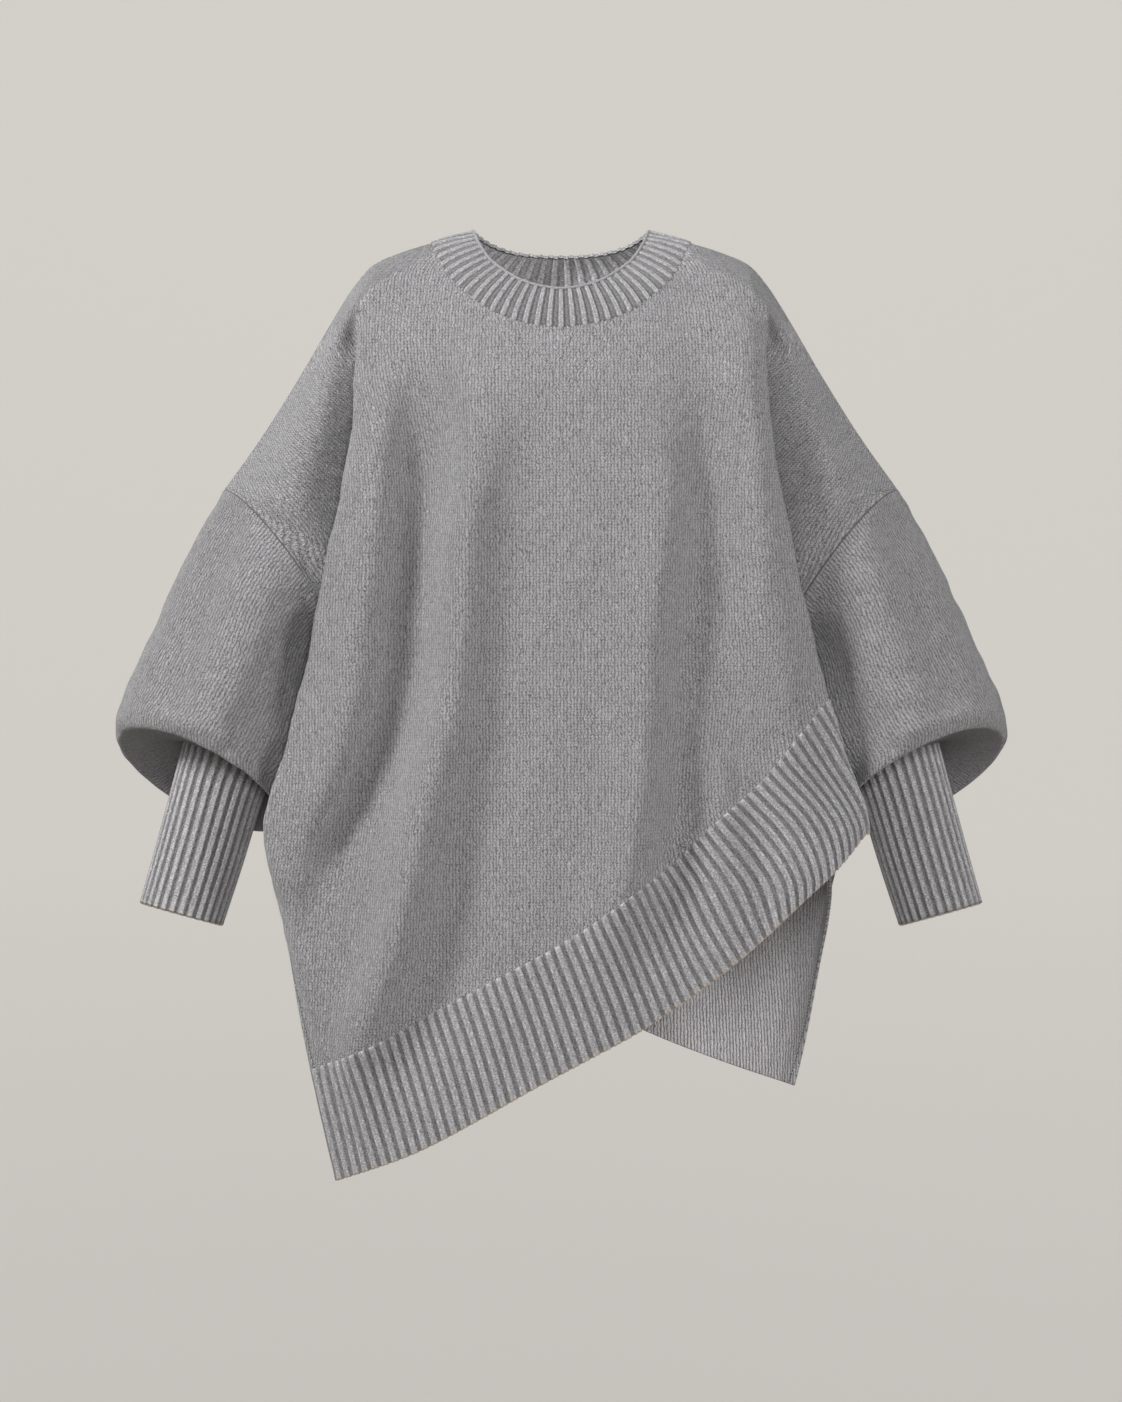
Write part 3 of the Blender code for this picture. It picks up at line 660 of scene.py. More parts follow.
# Level cuts through half a panel: height, depth at the middle, depth midway,
# then the distance out and depth of the side fold, the valley and the arm.
FRONT_CUTS = (
    (6.6, -45, -40, 88, -24, 98, -18, 110, -10),
    (-6, -54, -48, 112, -30, 122, -25, 136, -16),
    (-19, -66, -58, 142, -35, 152, -29, 166, -18),
    (-31, -74, -66, 166, -37, 173, -28, 181, -16),
    (-46.5, -82, -73, 181, -43, 188, -30, 194, -16),
    (-62, -89, -82, 187, -51, 194, -34, 203, -20),
    (-77.5, -95, -89, 190, -59, 194, -37, 208, -26),
    (-100, -104, -97, 193, -67, 191, -42, 214, -38),
    (-130, -112, -106, 195, -75, 186, -47, 222, -50),
    (-170, -118, -112, 197, -81, 183, -50, 235, -62),
    (-215, -123, -116, 204, -86, 186, -52, 250, -70),
    (-250, -126, -118, 211, -89, 192, -56, 250, -73),
    (-290, -128, -119, 220, -91, 199, -64, 226, -69),
    (-320, -128, -119, 226, -91, 209, -73, 219, -68),
    (-345, -128, -119, 231, -91, 217, -78, 213, -70),
    (-365, -128, -119, 234, -90, 220, -78, 209, -63),
    (-385, -127, -118, 238, -89, 223, -75, 206, -51),
    (-430, -126, -118, 248, -88, 236, -74, 212, -48),
    (-480, -125, -117, 260, -86, 250, -74, 228, -48),
    (-549, -123, -115, 278, -83, 271, -70, 256, -44),
    (-590, -122, -114, 268, -87, 273, -65, 267, -44),
    (-640, -121, -113, 238, -93, 256, -80, 262, -66),
    (-720, -119, -112, 212, -95, 232, -86, 241, -78),
    (-800, -117, -110, 192, -94, 212, -86, 222, -78),
    (-890, -115, -108, 172, -92, 190, -84, 200, -77),
)
BACK_CUTS = (
    (6.6, -42, -38, 88, -24, 98, -18, 110, -10),
    (-6, -52, -47, 112, -29, 122, -24, 136, -15),
    (-19, -62, -56, 142, -35, 152, -29, 166, -18),
    (-35, -72, -64, 168, -40, 175, -31, 184, -17),
    (-62, -84, -76, 187, -50, 195, -36, 203, -20),
    (-100, -95, -88, 193, -62, 195, -46, 214, -38),
    (-150, -105, -99, 196, -74, 190, -54, 230, -58),
    (-215, -114, -108, 204, -82, 194, -58, 256, -70),
    (-250, -115, -109, 211, -84, 200, -60, 265, -72),
    (-290, -114, -108, 220, -84, 206, -62, 252, -72),
    (-335, -112, -106, 229, -84, 218, -69, 242, -70),
    (-360, -111, -105, 233, -83, 225, -72, 233, -67),
    (-375, -111, -105, 236, -83, 229, -73, 227, -64),
    (-390, -110, -104, 239, -82, 231, -72, 221, -58),
    (-430, -110, -104, 248, -81, 240, -71, 222, -50),
    (-480, -110, -104, 260, -80, 252, -71, 232, -48),
    (-549, -111, -104, 284, -78, 275, -66, 256, -42),
    (-590, -112, -105, 258, -82, 263, -62, 258, -42),
    (-640, -112, -105, 234, -88, 248, -77, 253, -64),
    (-700, -112, -105, 217, -90, 233, -82, 241, -74),
    (-810, -111, -103, 185, -88, 202, -82, 211, -76),
)
CUT_STOPS = (0.0, 0.25, 0.5, 0.62, 0.8)
HALF_STOPS = (0.0, 0.09, 0.18, 0.27, 0.35, 0.43, 0.5, 0.57, 0.63, 0.72, 0.82, 0.92, 0.97, 1.0)
PANEL_STOPS = tuple(-stop for stop in HALF_STOPS[:0:-1]) + HALF_STOPS
# The shares of a panel's side edge at which it meets the armhole, underarm and slit.
LONG_SHARES = (8 / 30, 19 / 30, 24 / 30)
SHORT_SHARES = (16 / 30, 27 / 30, 1.0)

# Seams and free edges, as (distance out, height) or (distance out, depth, height).
SHOULDER_SEAM = ((122.5, 6.6), (150, -2), (179, -15), (198, -37), (212, -59), (249, -122),
                 (286, -180.5), (320.8, -229.2))
SIDE_SEAM = ((208.2, -384.8), (201, -394), (200, -425), (215, -475), (236, -549))
FRONT_SLIT = ((236, 0, -549), (249, -14, -575), (259, -30, -600), (261, -48, -632),
              (256, -62, -667), (236, -72, -775), (211, -72, -885))
BACK_SLIT = ((236, 0, -549), (252, -14, -575), (258, -28, -600), (256, -46, -635),
             (248, -60, -680), (235, -68, -750), (220, -70, -812))
FRONT_NECKLINE = ((0, -77.5), (42, -70.3), (66, -60.5), (85, -46.5), (102, -31), (113.5, -12.6),
                  (120, 3), (122.5, 6.6))
BACK_NECKLINE = ((0, -35), (30, -34), (66, -29), (95, -18), (113, -5), (120, 3), (122.5, 6.6))
FRONT_HEM = ((-241, -779), (-183, -756), (-116, -720), (-56, -688), (7.6, -653), (56, -620),
             (104.5, -582), (147, -542.5), (193, -500.7), (227, -458), (241, -440), (300, -390))
BAND_HEM = ((-213, -879), (-134.5, -850), (-74, -818), (-28.5, -792), (27.5, -762), (70, -739),
            (113, -710.6), (170, -668), (227, -616.5), (270, -574), (288, -551), (330, -520))
BACK_HEM = ((-224, -796), (-170, -779), (-70, -740), (30, -690), (130, -636), (230, -580),
            (290, -549), (340, -525))

# Heights of the neck's top and of the slits' tops, and one below every hem.
NECK_TOP = 6.6
SLIT_TOP = -549.0
LOWEST = -890.0

ARMHOLE_MIDDLE = np.array([264.5, 0.0, -307.0])
ARMHOLE_HALF_WIDTH = 96.0
ARMHOLE_HALF_DEPTH = 71.5
ARMHOLE_LEAN = 17.0

FRONT_FOLDS = (
    Fold(((-154, -100), (-173, -215), (-187, -340), (-205, -450), (-235, -560)), 16, 18, 12),
    Fold(((-144, -104), (-133, -209), (-136, -332), (-149, -428), (-177, -504), (-211, -570),
          (-234, -646)), 22, 28, -24),
    Fold(((-82, -171), (-92, -256), (-101, -352), (-108, -428), (-130, -522), (-149, -618),
          (-177, -712), (-201, -775)), 17, 22, 27),
    Fold(((-49, -218), (-54, -352), (-63, -466), (-82, -570), (-106, -665), (-134, -750)),
         24, 34, -8),
    Fold(((110, -230), (100, -320), (92, -390), (90, -460), (74, -530), (60, -600), (42, -665)),
         23, 18, 17),
    Fold(((137, -160), (124, -304), (112, -408), (109, -522), (105, -618)), 18, 26, -20),
    Fold(((165, -57), (177, -171), (184, -256), (193, -332), (208, -418), (212, -470)), 22, 21, 14),
    Fold(((164, -440), (172, -490), (181, -550), (196, -640)), 17, 20, -13),
    Fold(((141, -420), (146, -560)), 18, 18, 5),
    Fold(((-11, -420), (-27, -560), (-51, -690)), 34, 29, 4),
)
BACK_FOLDS = (
    Fold(((-110, -120), (-122, -300), (-130, -460), (-160, -740)), 24, 32, 11),
    Fold(((-60, -150), (-70, -380), (-92, -560), (-110, -720)), 24, 24, -14),
    Fold(((20, -160), (14, -420), (-40, -690)), 29, 34, 9),
    Fold(((84, -140), (78, -380), (60, -620)), 21, 29, -13),
    Fold(((130, -110), (140, -330), (180, -560)), 21, 29, 10),
    Fold(((-165, -150), (-172, -380), (-215, -620)), 18, 24, -12),
)

# Rings of a sleeve and a cuff: the outer side's x and z, the inner side's x
# and z, the depth of the middle, half the depth and the lean of the front.
SLEEVE_OVALS = (
    (320.8, -229.2, 208.2, -384.8, 0, 71.5, 17),
    (337, -257, 220, -397, -1, 75, 18),
    (362, -304, 233, -425, -2, 79, 20),
    (391, -369, 240, -476, -4, 84, 24),
    (416, -424, 254, -518, -5, 87, 28),
    (423, -446, 261, -533, -5, 86, 30),
    (420, -461, 265, -545, -5, 80, 31),
    (407, -463, 271, -538, -5, 68, 28),
    (385, -464, 272, -510, -5, 51, 14),
    (359.7, -466.6, 268.8, -492.8, -5, 30.7, 0),
)
CUFF_OVALS = (
    (356, -463.5, 272, -488.5, -5, 27, 0),
    (366, -502, 286, -526, -6, 26, 0),
    (381, -558, 303, -582, -7, 24, 0),
    (398, -619, 322, -640, -8, 23, 0),
)
COLLAR_TOP_FRONT = ((84, 0, 18.4), (77, -29, 2), (68, -43, -11.5), (54, -56, -23),
                    (39, -65, -32), (19.5, -71, -38.3), (0, -73, -40.8))
COLLAR_TOP_BACK = ((84, 0, 18.4), (79, 17, 14), (68, 32, 7.5), (50, 44, 1), (30, 52, -2),
                   (0, 56, -3.5))


def armhole(angle: Array | float, lean: float) -> Array:
    """A point of the left armhole seam; 0 is the shoulder, pi the underarm.

    Formula: an oval in the plane of the seam, its front led towards the neck.
    """
    out = np.array([0.5865, 0.0, 0.81])
    inward = np.array([-0.81, 0.0, 0.5865])
    turn = np.asarray(angle, dtype=float)[..., None]
    return (ARMHOLE_MIDDLE + ARMHOLE_HALF_WIDTH * np.cos(turn) * out
            + np.sin(turn) * (np.array([0.0, -ARMHOLE_HALF_DEPTH, 0.0]) + lean * inward))


def in_plane(line: tuple[tuple[float, float], ...]) -> Array:
    """Points (x, z) of the plane between front and back as (x, 0, z)."""
    return np.array([(x, 0.0, z) for x, z in line])


def read_edge(edge: tuple[Array, Array], parts: Array) -> tuple[Array, Array]:
    """An edge's points and facing at equal parts of its length."""
    places = lengths(edge[0])
    points, facing = (np.stack([np.interp(parts, places, values[:, k]) for k in range(3)], axis=1)
                      for values in edge)
    return points, facing


# ---------------------------------------------------------------- body panels


@dataclass
class BodyPanel:
    """Half of the wide body, with its dropped shoulders.

    A point's place across runs from -1 at the long side to 1 at the short
    side; 0.5 is the fold at the side of the body and 0.62 the valley between
    the body and the arm.

    Attributes:
        name: name of the piece.
        node: CAD node it stands for.
        face: the way it faces.
        cuts: its level cuts.
        neckline: its upper edge.
        hem: its lower edge.
        slit: its free side edge.
        folds: its lengthwise folds.
        lean: lean of its armhole.
        low_hem: lower edge of the band below it.
        seed: number for its slow unevenness.
        flare: how much wider its short side grows towards the hem.
    """

    name: str
    node: str
    face: Face
    cuts: tuple[tuple[float, ...], ...]
    neckline: tuple[tuple[float, float], ...]
    hem: tuple[tuple[float, float], ...]
    slit: tuple[tuple[float, float, float], ...]
    folds: tuple[Fold, ...]
    lean: float
    low_hem: tuple[tuple[float, float], ...]
    seed: int
    flare: float = 0.015
    rows: int = 222
    columns: int = 224
    points: Array = field(init=False)
    facing: Array = field(init=False)

    # Rounds of smoothing, and the height and depth of the rounded shoulder.
    RELAXED = 12
    ROUNDED = 52.0
    SHOULDER_DEPTH = -60.0
    # The shoulder's tip as distance out and height, the lean in degrees of the
    # cloth that hangs from it, and the width over which the sheet meets a seam.
    TIP = (222, -118)
    HANG = 41
    SEAM_WIDTH = 9.0
    # The welt beside the armhole: its distance from the seam, and its rise.
    WELT_IN = 5.0
    WELT_RISE = 1.5
    # Height at which the short side starts to flare, and the fall over which it
    # grows by the panel's flare; then the places that hold a row beyond the fold.
    FLARE_TOP = -300.0
    FLARE_FALL = 251.0
    HELD = (0.5, 0.63, 0.82)

    @property
    def turn(self) -> Array:
        """Signs that turn the panel to the way it faces."""
        return np.array([self.face.value, self.face.value, 1.0])

    def free_edge(self, long_side: bool) -> Array:
        """The outer edge of half the panel as points with rising heights."""
        shoulder = along(in_plane(SHOULDER_SEAM), np.linspace(0, 1, 40))
        arm = armhole(np.linspace(0, math.pi, 60), self.lean)
        parts = [shoulder, arm, in_plane(SIDE_SEAM[1:])]
        if long_side:
            parts.append(np.array(self.slit[1:], dtype=float))
        points = np.concatenate(parts)
        return points[np.argsort(points[:, 2])]

    def side_edge(self, part: Array, long_side: bool, low: float) -> Array:
        """The outer edge of half the panel, from the neck down to its hem."""
        share = LONG_SHARES if long_side else SHORT_SHARES
        shoulder = along(in_plane(SHOULDER_SEAM), part / share[0])
        arm = armhole(math.pi * np.clip((part - share[0]) / (share[1] - share[0]), 0, 1), self.lean)
        edge = np.where((part <= share[0])[:, None], shoulder, arm)
        runs = [(in_plane(SIDE_SEAM), share[1], share[2], SLIT_TOP if long_side else low)]
        if long_side:
            runs.append((np.array(self.slit, dtype=float), share[2], 1, low))
        for line, start, stop, end in runs:
            drop = np.clip((part - start) / (stop - start), 0, 1)
            down = smooth(line[0, 2] + (end - line[0, 2]) * drop, line[::-1, 2], line[::-1])
            edge = np.where((part > start)[:, None], down, edge)
        return edge

    def cut_point(self, stop: Array, heights: Array) -> Array:
        """Points (x, y) of the level cut at a place across the panel."""
        stop, heights = np.broadcast_arrays(np.asarray(stop, dtype=float), heights)
        table = np.array([[0.0, c[1], c[3] / 2, c[2], *c[3:]] for c in reversed(self.cuts)])
        inner = smooth(heights, np.array([c[0] for c in reversed(self.cuts)]), table)
        inner = inner.reshape(heights.shape + (5, 2))
        edges = [self.free_edge(True), self.free_edge(False)]
        edge = np.stack([np.where(stop < 0, *(np.interp(heights, line[:, 2], line[:, k])
                                              for line in edges)) for k in (0, 1)], axis=-1)
        points = np.concatenate([inner, edge[..., None, :]], axis=-2)
        result = self.blend(np.abs(stop), np.array(CUT_STOPS + (1.0,)), points)
        flare = np.clip((self.FLARE_TOP - heights) / self.FLARE_FALL, 0, 1.2)
        result[..., 0] *= np.where(stop > 0, 1 + self.flare * flare, 1.0) * np.sign(stop)
        return result

    @staticmethod
    def blend(at: Array, knots: Array, points: Array) -> Array:
        """A smooth reading of points[..., knot, :] at one place each.

        Formula: as smooth(), with the second point mirrored before the first.
        """
        flipped = points[..., 1, :] * np.array([-1.0, 1.0])
        padded = np.concatenate([flipped[..., None, :], points], axis=-2)
        places = np.concatenate([[-knots[1]], knots])
        slopes = knot_slopes(padded, np.diff(places)[:, None])
        span, part, width = locate(at, places)
        here = span[..., None, None]
        values, leads = (tuple(np.take_along_axis(grid, here + k, axis=-2)[..., 0, :]
                               for k in (0, 1)) for grid in (padded, slopes))
        return cubic(part, width, values, leads)

    def meet(self, stop: Array, curve: tuple[tuple[float, float], ...], mirrored: bool) -> Array:
        """Height where the line at each place across reaches a curve, by halving."""
        line = np.array(curve, dtype=float)
        seen = stop if mirrored else np.clip(stop, -1.0, 0.5)
        high = np.full(stop.shape, NECK_TOP)
        low = np.full(stop.shape, LOWEST)
        for _ in range(40):
            middle = (high + low) / 2
            x = self.cut_point(seen, middle)[..., 0]
            above = middle > smooth(np.abs(x) if mirrored else x, line[:, 0], line[:, 1])
            high = np.where(above, middle, high)
            low = np.where(above, low, middle)
        return (high + low) / 2

    def surface(self, stop: Array, heights: Array) -> Array:
        """Points of the outer face at places across and heights."""
        stop, heights = np.broadcast_arrays(np.asarray(stop, dtype=float), heights)
        flat = self.cut_point(stop, heights)
        rise = sum(fold.height(flat[..., 0], heights) for fold in self.folds)
        depth = flat[..., 1] - np.clip((0.6 - np.abs(stop)) / 0.12, 0, 1) * rise
        return np.stack([flat[..., 0], depth, heights], axis=-1)

    def grid(self) -> tuple[Array, Array]:
        """Rows of points from the neckline to the hem, and their places across.

        Formula: each column runs at one place across, from the neckline down
        to the hem.  Its heights go from even steps at the middle to those of
        the side edge, and beyond the side fold each row is led to its seam.
        """
        stops = np.interp(np.linspace(0, len(PANEL_STOPS) - 1, self.columns),
                          np.arange(len(PANEL_STOPS)), PANEL_STOPS)
        part = np.linspace(0, 1, self.rows)
        top = self.meet(stops, self.neckline, True)
        low = self.meet(stops, self.hem, False)
        edges = [self.side_edge(part, side < 0, end) * np.array([side, 1.0, 1.0])
                 for side, end in ((-1, low[0]), (1, low[-1]))]
        falls = [(NECK_TOP - edge[:, 2]) / (NECK_TOP - edge[-1, 2]) for edge in edges]
        weight = np.abs(stops)[None, :] ** 3
        fall = np.where(stops[None, :] < 0, falls[0][:, None], falls[1][:, None])
        share = part[:, None] * (1 - weight) + fall * weight
        points = self.surface(stops[None, :], top + (low - top) * share)
        for side, edge in zip((-1, 1), edges):
            there = stops * side
            held = [int(np.argmin(np.abs(there - place))) for place in self.HELD]
            knots = np.append(there[held], 1.0)
            line = np.concatenate([points[:, held], edge[:, None]], axis=1).transpose(1, 0, 2)
            beyond = there > knots[1]
            points[:, beyond] = smooth(there[beyond], knots, line).transpose(1, 0, 2)
        self.round_shoulder(points, part, stops)
        return points, stops

    def round_shoulder(self, points: Array, part: Array, stops: Array) -> None:
        """Round the cloth over towards its shoulder seam.

        Formula: close below the seam the depth is a quarter of an oval, faded
        out down the arm. Then points move towards the middle of their
        neighbours, time after time, as hanging cloth does.
        """
        seam = np.array(SHOULDER_SEAM, dtype=float)
        start = seam[0] - (seam[1] - seam[0]) * 3
        out = np.abs(points[..., 0])
        below = np.interp(out, np.append(start[0], seam[:, 0]), np.append(start[1], seam[:, 1]))
        below = np.clip((below - points[..., 2]) / self.ROUNDED, 0, 1)
        depth = self.SHOULDER_DEPTH * np.sqrt(1 - (1 - below) ** 2)
        weight = (1 - ease(below, 0.55, 1.0)) * (1 - ease(-points[..., 2], 55, 105))
        weight = weight * ease(out, 108, 128)
        points[..., 1] += (depth - points[..., 1]) * weight
        share = np.where(stops < 0, LONG_SHARES[0], SHORT_SHARES[0])[None, :]
        loose = 1 - ease(part[:, None] / share, 0.35, 0.6)
        loose = loose * ease(np.abs(stops), 0.15, 0.3) * (1 - ease(np.abs(stops), 0.9, 1.0))
        loose = loose[1:-1, 1:-1, None]
        for _ in range(self.RELAXED):
            around = (points[:-2, 1:-1] + points[2:, 1:-1] + points[1:-1, :-2]
                      + points[1:-1, 2:]) / 4
            points[1:-1, 1:-1] += loose * (around - points[1:-1, 1:-1])

    def set_seams(self, points: Array, facing: Array) -> None:
        """Turn the sheet along its seams so that both sides meet, and part them.

        Formula: at a seam the facing loses its part along the seam's plane,
        and over the seam's width it changes into the sheet's own facing.
        """
        axis = unit(np.cross(armhole(0.0, self.lean) - ARMHOLE_MIDDLE,
                             armhole(math.pi / 2, self.lean) - ARMHOLE_MIDDLE))
        gap = SEAM_GAP / 2
        for column, share in ((0, LONG_SHARES), (-1, SHORT_SHARES)):
            shoulder, underarm, slit = (round(part * (self.rows - 1)) for part in share)
            side, inward, half = ((-1.0, 5, slice(0, self.columns // 2)) if column == 0
                                  else (1.0, -6, slice(self.columns // 2, None)))
            seam = facing[:, inward].copy()
            plane = axis * np.array([side, 1.0, 1.0])
            plane = plane * np.sign(plane[0] * side)
            straight = (slice(0, shoulder + 1), slice(underarm, slit + 1))
            arm = slice(shoulder, underarm + 1)
            for rows in straight:
                seam[rows, 1] = 0.0
            seam[arm] -= np.minimum(seam[arm] @ plane, 0.0)[:, None] * plane
            seam = unit(seam)
            away = np.linalg.norm(points - points[:, [column]], axis=2)
            near = ease(away, 0.0, self.SEAM_WIDTH)[..., None]
            facing[:, half] = unit(facing[:, half] * near[:, half]
                                   + seam[:, None] * (1 - near[:, half]))
            for rows in straight:
                points[rows, column, 1] -= gap
            points[arm, column] -= gap * plane

    def knit(self, points: Array, stops: Array) -> Array:
        """Place of each point on the flat knit, in wales and courses.

        Formula: distance across the cloth and height, turned about the
        shoulder's tip beyond the side fold, where the cloth hangs from it.
        """
        step = np.diff(points, axis=1)[..., :2]
        across = np.concatenate([np.zeros((len(points), 1)),
                                 np.cumsum(np.linalg.norm(step, axis=2), axis=1)], axis=1)
        across -= across[:, [self.columns // 2]]
        height = points[..., 2]
        lean = math.radians(self.HANG) * ease(np.abs(stops), 0.48, 0.66)[None, :]
        lean = lean * ease(-height, 35, 125) * (1 - ease(-height, 330, 460))
        out, rise = np.abs(across) - self.TIP[0], height - self.TIP[1]
        wale = np.sign(across) * (self.TIP[0] + np.cos(lean) * out - np.sin(lean) * rise)
        course = np.cos(lean) * rise + np.sin(lean) * out
        return np.stack([wale / WALE, course / COURSE], axis=2)

    def build(self, finish: BrushedWoolKnit) -> bpy.types.Object:
        """Build the panel.

        Args:
            finish: its knit.

        Returns:
            The panel's object.
        """
        points, stops = self.grid()
        cloth = self.knit(points, stops)
        facing = normals(points, False)
        inset = np.minimum(1 - np.abs(stops)[None, :], 0.12) / 0.12
        down = np.linspace(0, 1, self.rows)[:, None]
        inset = inset * ease(down, 0, 0.06) * (1 - ease(down, 0.95, 1))
        relief = sum(rise * uneven(points[..., 0] * squeeze, points[..., 2], size, seed)
                     for rise, squeeze, size, seed in ((0.9, 1.0, 150, self.seed),
                                                       (0.35, 1.6, 46, self.seed + 1)))
        for column, share in ((0, LONG_SHARES), (-1, SHORT_SHARES)):
            away = np.linalg.norm(points - points[:, [column]], axis=2)
            there = band(down, share[0] * 0.96, share[0], share[1] - 0.01, share[1])
            welt = bell(away - self.WELT_IN, 2.2) - bell(away, 2.0)
            relief += self.WELT_RISE * welt * there / np.maximum(inset, 0.2)
        points = points + facing * (relief * inset)[..., None]
        facing = normals(points, False)
        self.set_seams(points, facing)
        self.points, self.facing = points, facing
        shell = Shell(points * self.turn, (points - THICK * facing) * self.turn, cloth, False)
        return make_sheet(self.name, self.node, finish, shell, points)

    def upper_edge(self) -> tuple[Array, Array]:
        """Points and facing along the neckline, before the panel is turned."""
        return self.points[0], self.facing[0]

    def armhole_edge(self, column: int) -> Array:
        """Points of the armhole seam from shoulder to underarm, in their places."""
        share = LONG_SHARES if column == 0 else SHORT_SHARES
        rows = slice(round(share[0] * (self.rows - 1)), round(share[1] * (self.rows - 1)) + 1)
        return (self.points[rows, column] - 0.3 * self.facing[rows, column]) * self.turn

    def selvedge(self, inset: float, rise: float) -> Array:
        """Points along the open side, a distance in from its edge, in their places."""
        start = round(LONG_SHARES[2] * (self.rows - 1)) + 2
        away = np.linalg.norm(self.points - self.points[:, [0]], axis=2)[start:, :60]
        column = np.argmin(np.abs(away - inset), axis=1)
        row = np.arange(start, self.rows)
        return (self.points[row, column] + rise * self.facing[row, column]) * self.turn

    def lower_edge(self) -> tuple[Array, Array]:
        """Points and facing along the hem, before the panel is turned."""
        return self.points[-1], self.facing[-1]


# ---------------------------------------------------------------- ribs


@dataclass(frozen=True)
class Rib:
    """Rib knit: rounded wales over narrower hollows, on both faces.

    Attributes:
        rise: height of a wale over the hollow beside it.
        share: share of the pitch that the wale takes.
        dent: depth of the line between the wale's two halves.
        thick: thickness of the cloth at a hollow between wales.
        samples: points across one rib.
    """

    rise: float
    share: float
    dent: float
    thick: float = 2.0
    samples: int = 12

    # Width of the line along a wale, as a share of half the wale.
    LINE = 0.3

    def off(self, phase: Array) -> Array:
        """Distance of a place from the middle of its wale, 1 being the wale's foot."""
        return np.abs(phase % 1.0 - 0.5) / (self.share / 2)

    def height(self, phase: Array) -> Array:
        """Rise at a place in a rib, 0 and 1 being the middles of its hollows.

        Formula: a steep rounded ridge, less a narrow bell at its middle.
        """
        off = self.off(phase)
        ridge = np.sqrt(np.clip(1 - off ** 4, 0, 1))
        return self.rise * (ridge - 0.4 * self.dent * bell(off, self.LINE))

    def groove(self, phase: Array) -> Array:
        """Painted shade: how far a place lies down between the ribs, 1 at a hollow's middle."""
        off = self.off(phase)
        return ease(off, 0.75, 1.2) + 0.8 * self.dent * bell(off, self.LINE)

    def shell(self, points: Array, facing: Array, phase: Array, wrap: bool,
              fall: float = -1.0, trim: int = 0) -> Shell:
        """The band as a shell; its inner wales lie behind the outer hollows.

        Args:
            points: grid of the band's base face.
            facing: its directions out.
            phase: place of each column in ribs.
            wrap: whether the band is a ring.
            fall: whether the courses fall (-1) or rise (1) with the rows.
            trim: rows of casting-off yarn at its last end.

        Returns:
            The band's shell.
        """
        outer = points + facing * self.height(phase)[None, :, None]
        inner = points - facing * (self.thick + 0.7 * self.height(phase + 0.5))[None, :, None]
        drop = run_down(points, wrap)
        wide = np.append(phase, phase[-1] + 1 / self.samples) if wrap else phase
        cloth = np.stack([np.broadcast_to(wide * 2, drop.shape) + 0.5, fall * drop / COURSE],
                         axis=2)
        # Painted shade between the ribs, a quarter stronger on the inner face, where painted light
        # is added as well.
        return Shell(outer, inner, cloth, wrap, trim,
                     (self.groove(phase), 1.25 * self.groove(phase + 0.5)))


@dataclass
class HemBand:
    """The ribbed band that hangs from the front panel's lower edge."""

    panel: BodyPanel
    rib: Rib
    name: str = "hem_rib_knit"
    node: str = "hem_rib"
    ribs: int = 71
    rows: int = 34

    SLANT = 0.3

    def build(self, finish: BrushedWoolKnit) -> bpy.types.Object:
        """Build the band.

        Formula: each rib joins a part of the seam to about the same part of
        the lower edge, over the panel's own surface; the lower ends lie up
        to about 35 mm further towards the short side.
        """
        stops = np.linspace(-1, 1, 401)
        upper, lower = (self.panel.surface(stops, self.panel.meet(stops, curve, False))
                        for curve in (self.panel.hem, self.panel.low_hem))
        parts = np.linspace(0, 1, self.ribs * self.rib.samples + 1)
        high_stop = np.interp(parts, lengths(upper), stops)
        slant = parts + self.SLANT * parts ** 2 * (1 - parts) * (0.5 + parts)
        low_stop = np.interp(slant, lengths(lower), stops)
        high_z, low_z = (np.interp(at, stops, line[:, 2])
                         for at, line in ((high_stop, upper), (low_stop, lower)))
        down = np.linspace(0, 1, self.rows)[:, None]
        points = self.panel.surface(high_stop + (low_stop - high_stop) * down,
                                    high_z + (low_z - high_z) * down)
        facing = normals(points, False)
        seam, seam_facing = read_edge(self.panel.lower_edge(), parts)
        lead = (1 - ease(down, 0, 0.12))[..., None]
        points = points + lead * (seam + SEAM_GAP * unit(points[2] - seam) - points[0])
        facing = unit(facing * (1 - lead) + seam_facing * lead)
        relief = 0.7 * uneven(points[..., 0], points[..., 2], 90, 31)
        relief = relief * ease(down, 0, 0.4) * (1 - ease(down, 0.9, 1))
        points = points + facing * relief[..., None]
        shell = self.rib.shell(points, facing, parts * self.ribs, False, trim=1)
        return make_sheet(self.name, self.node, finish, shell, points)


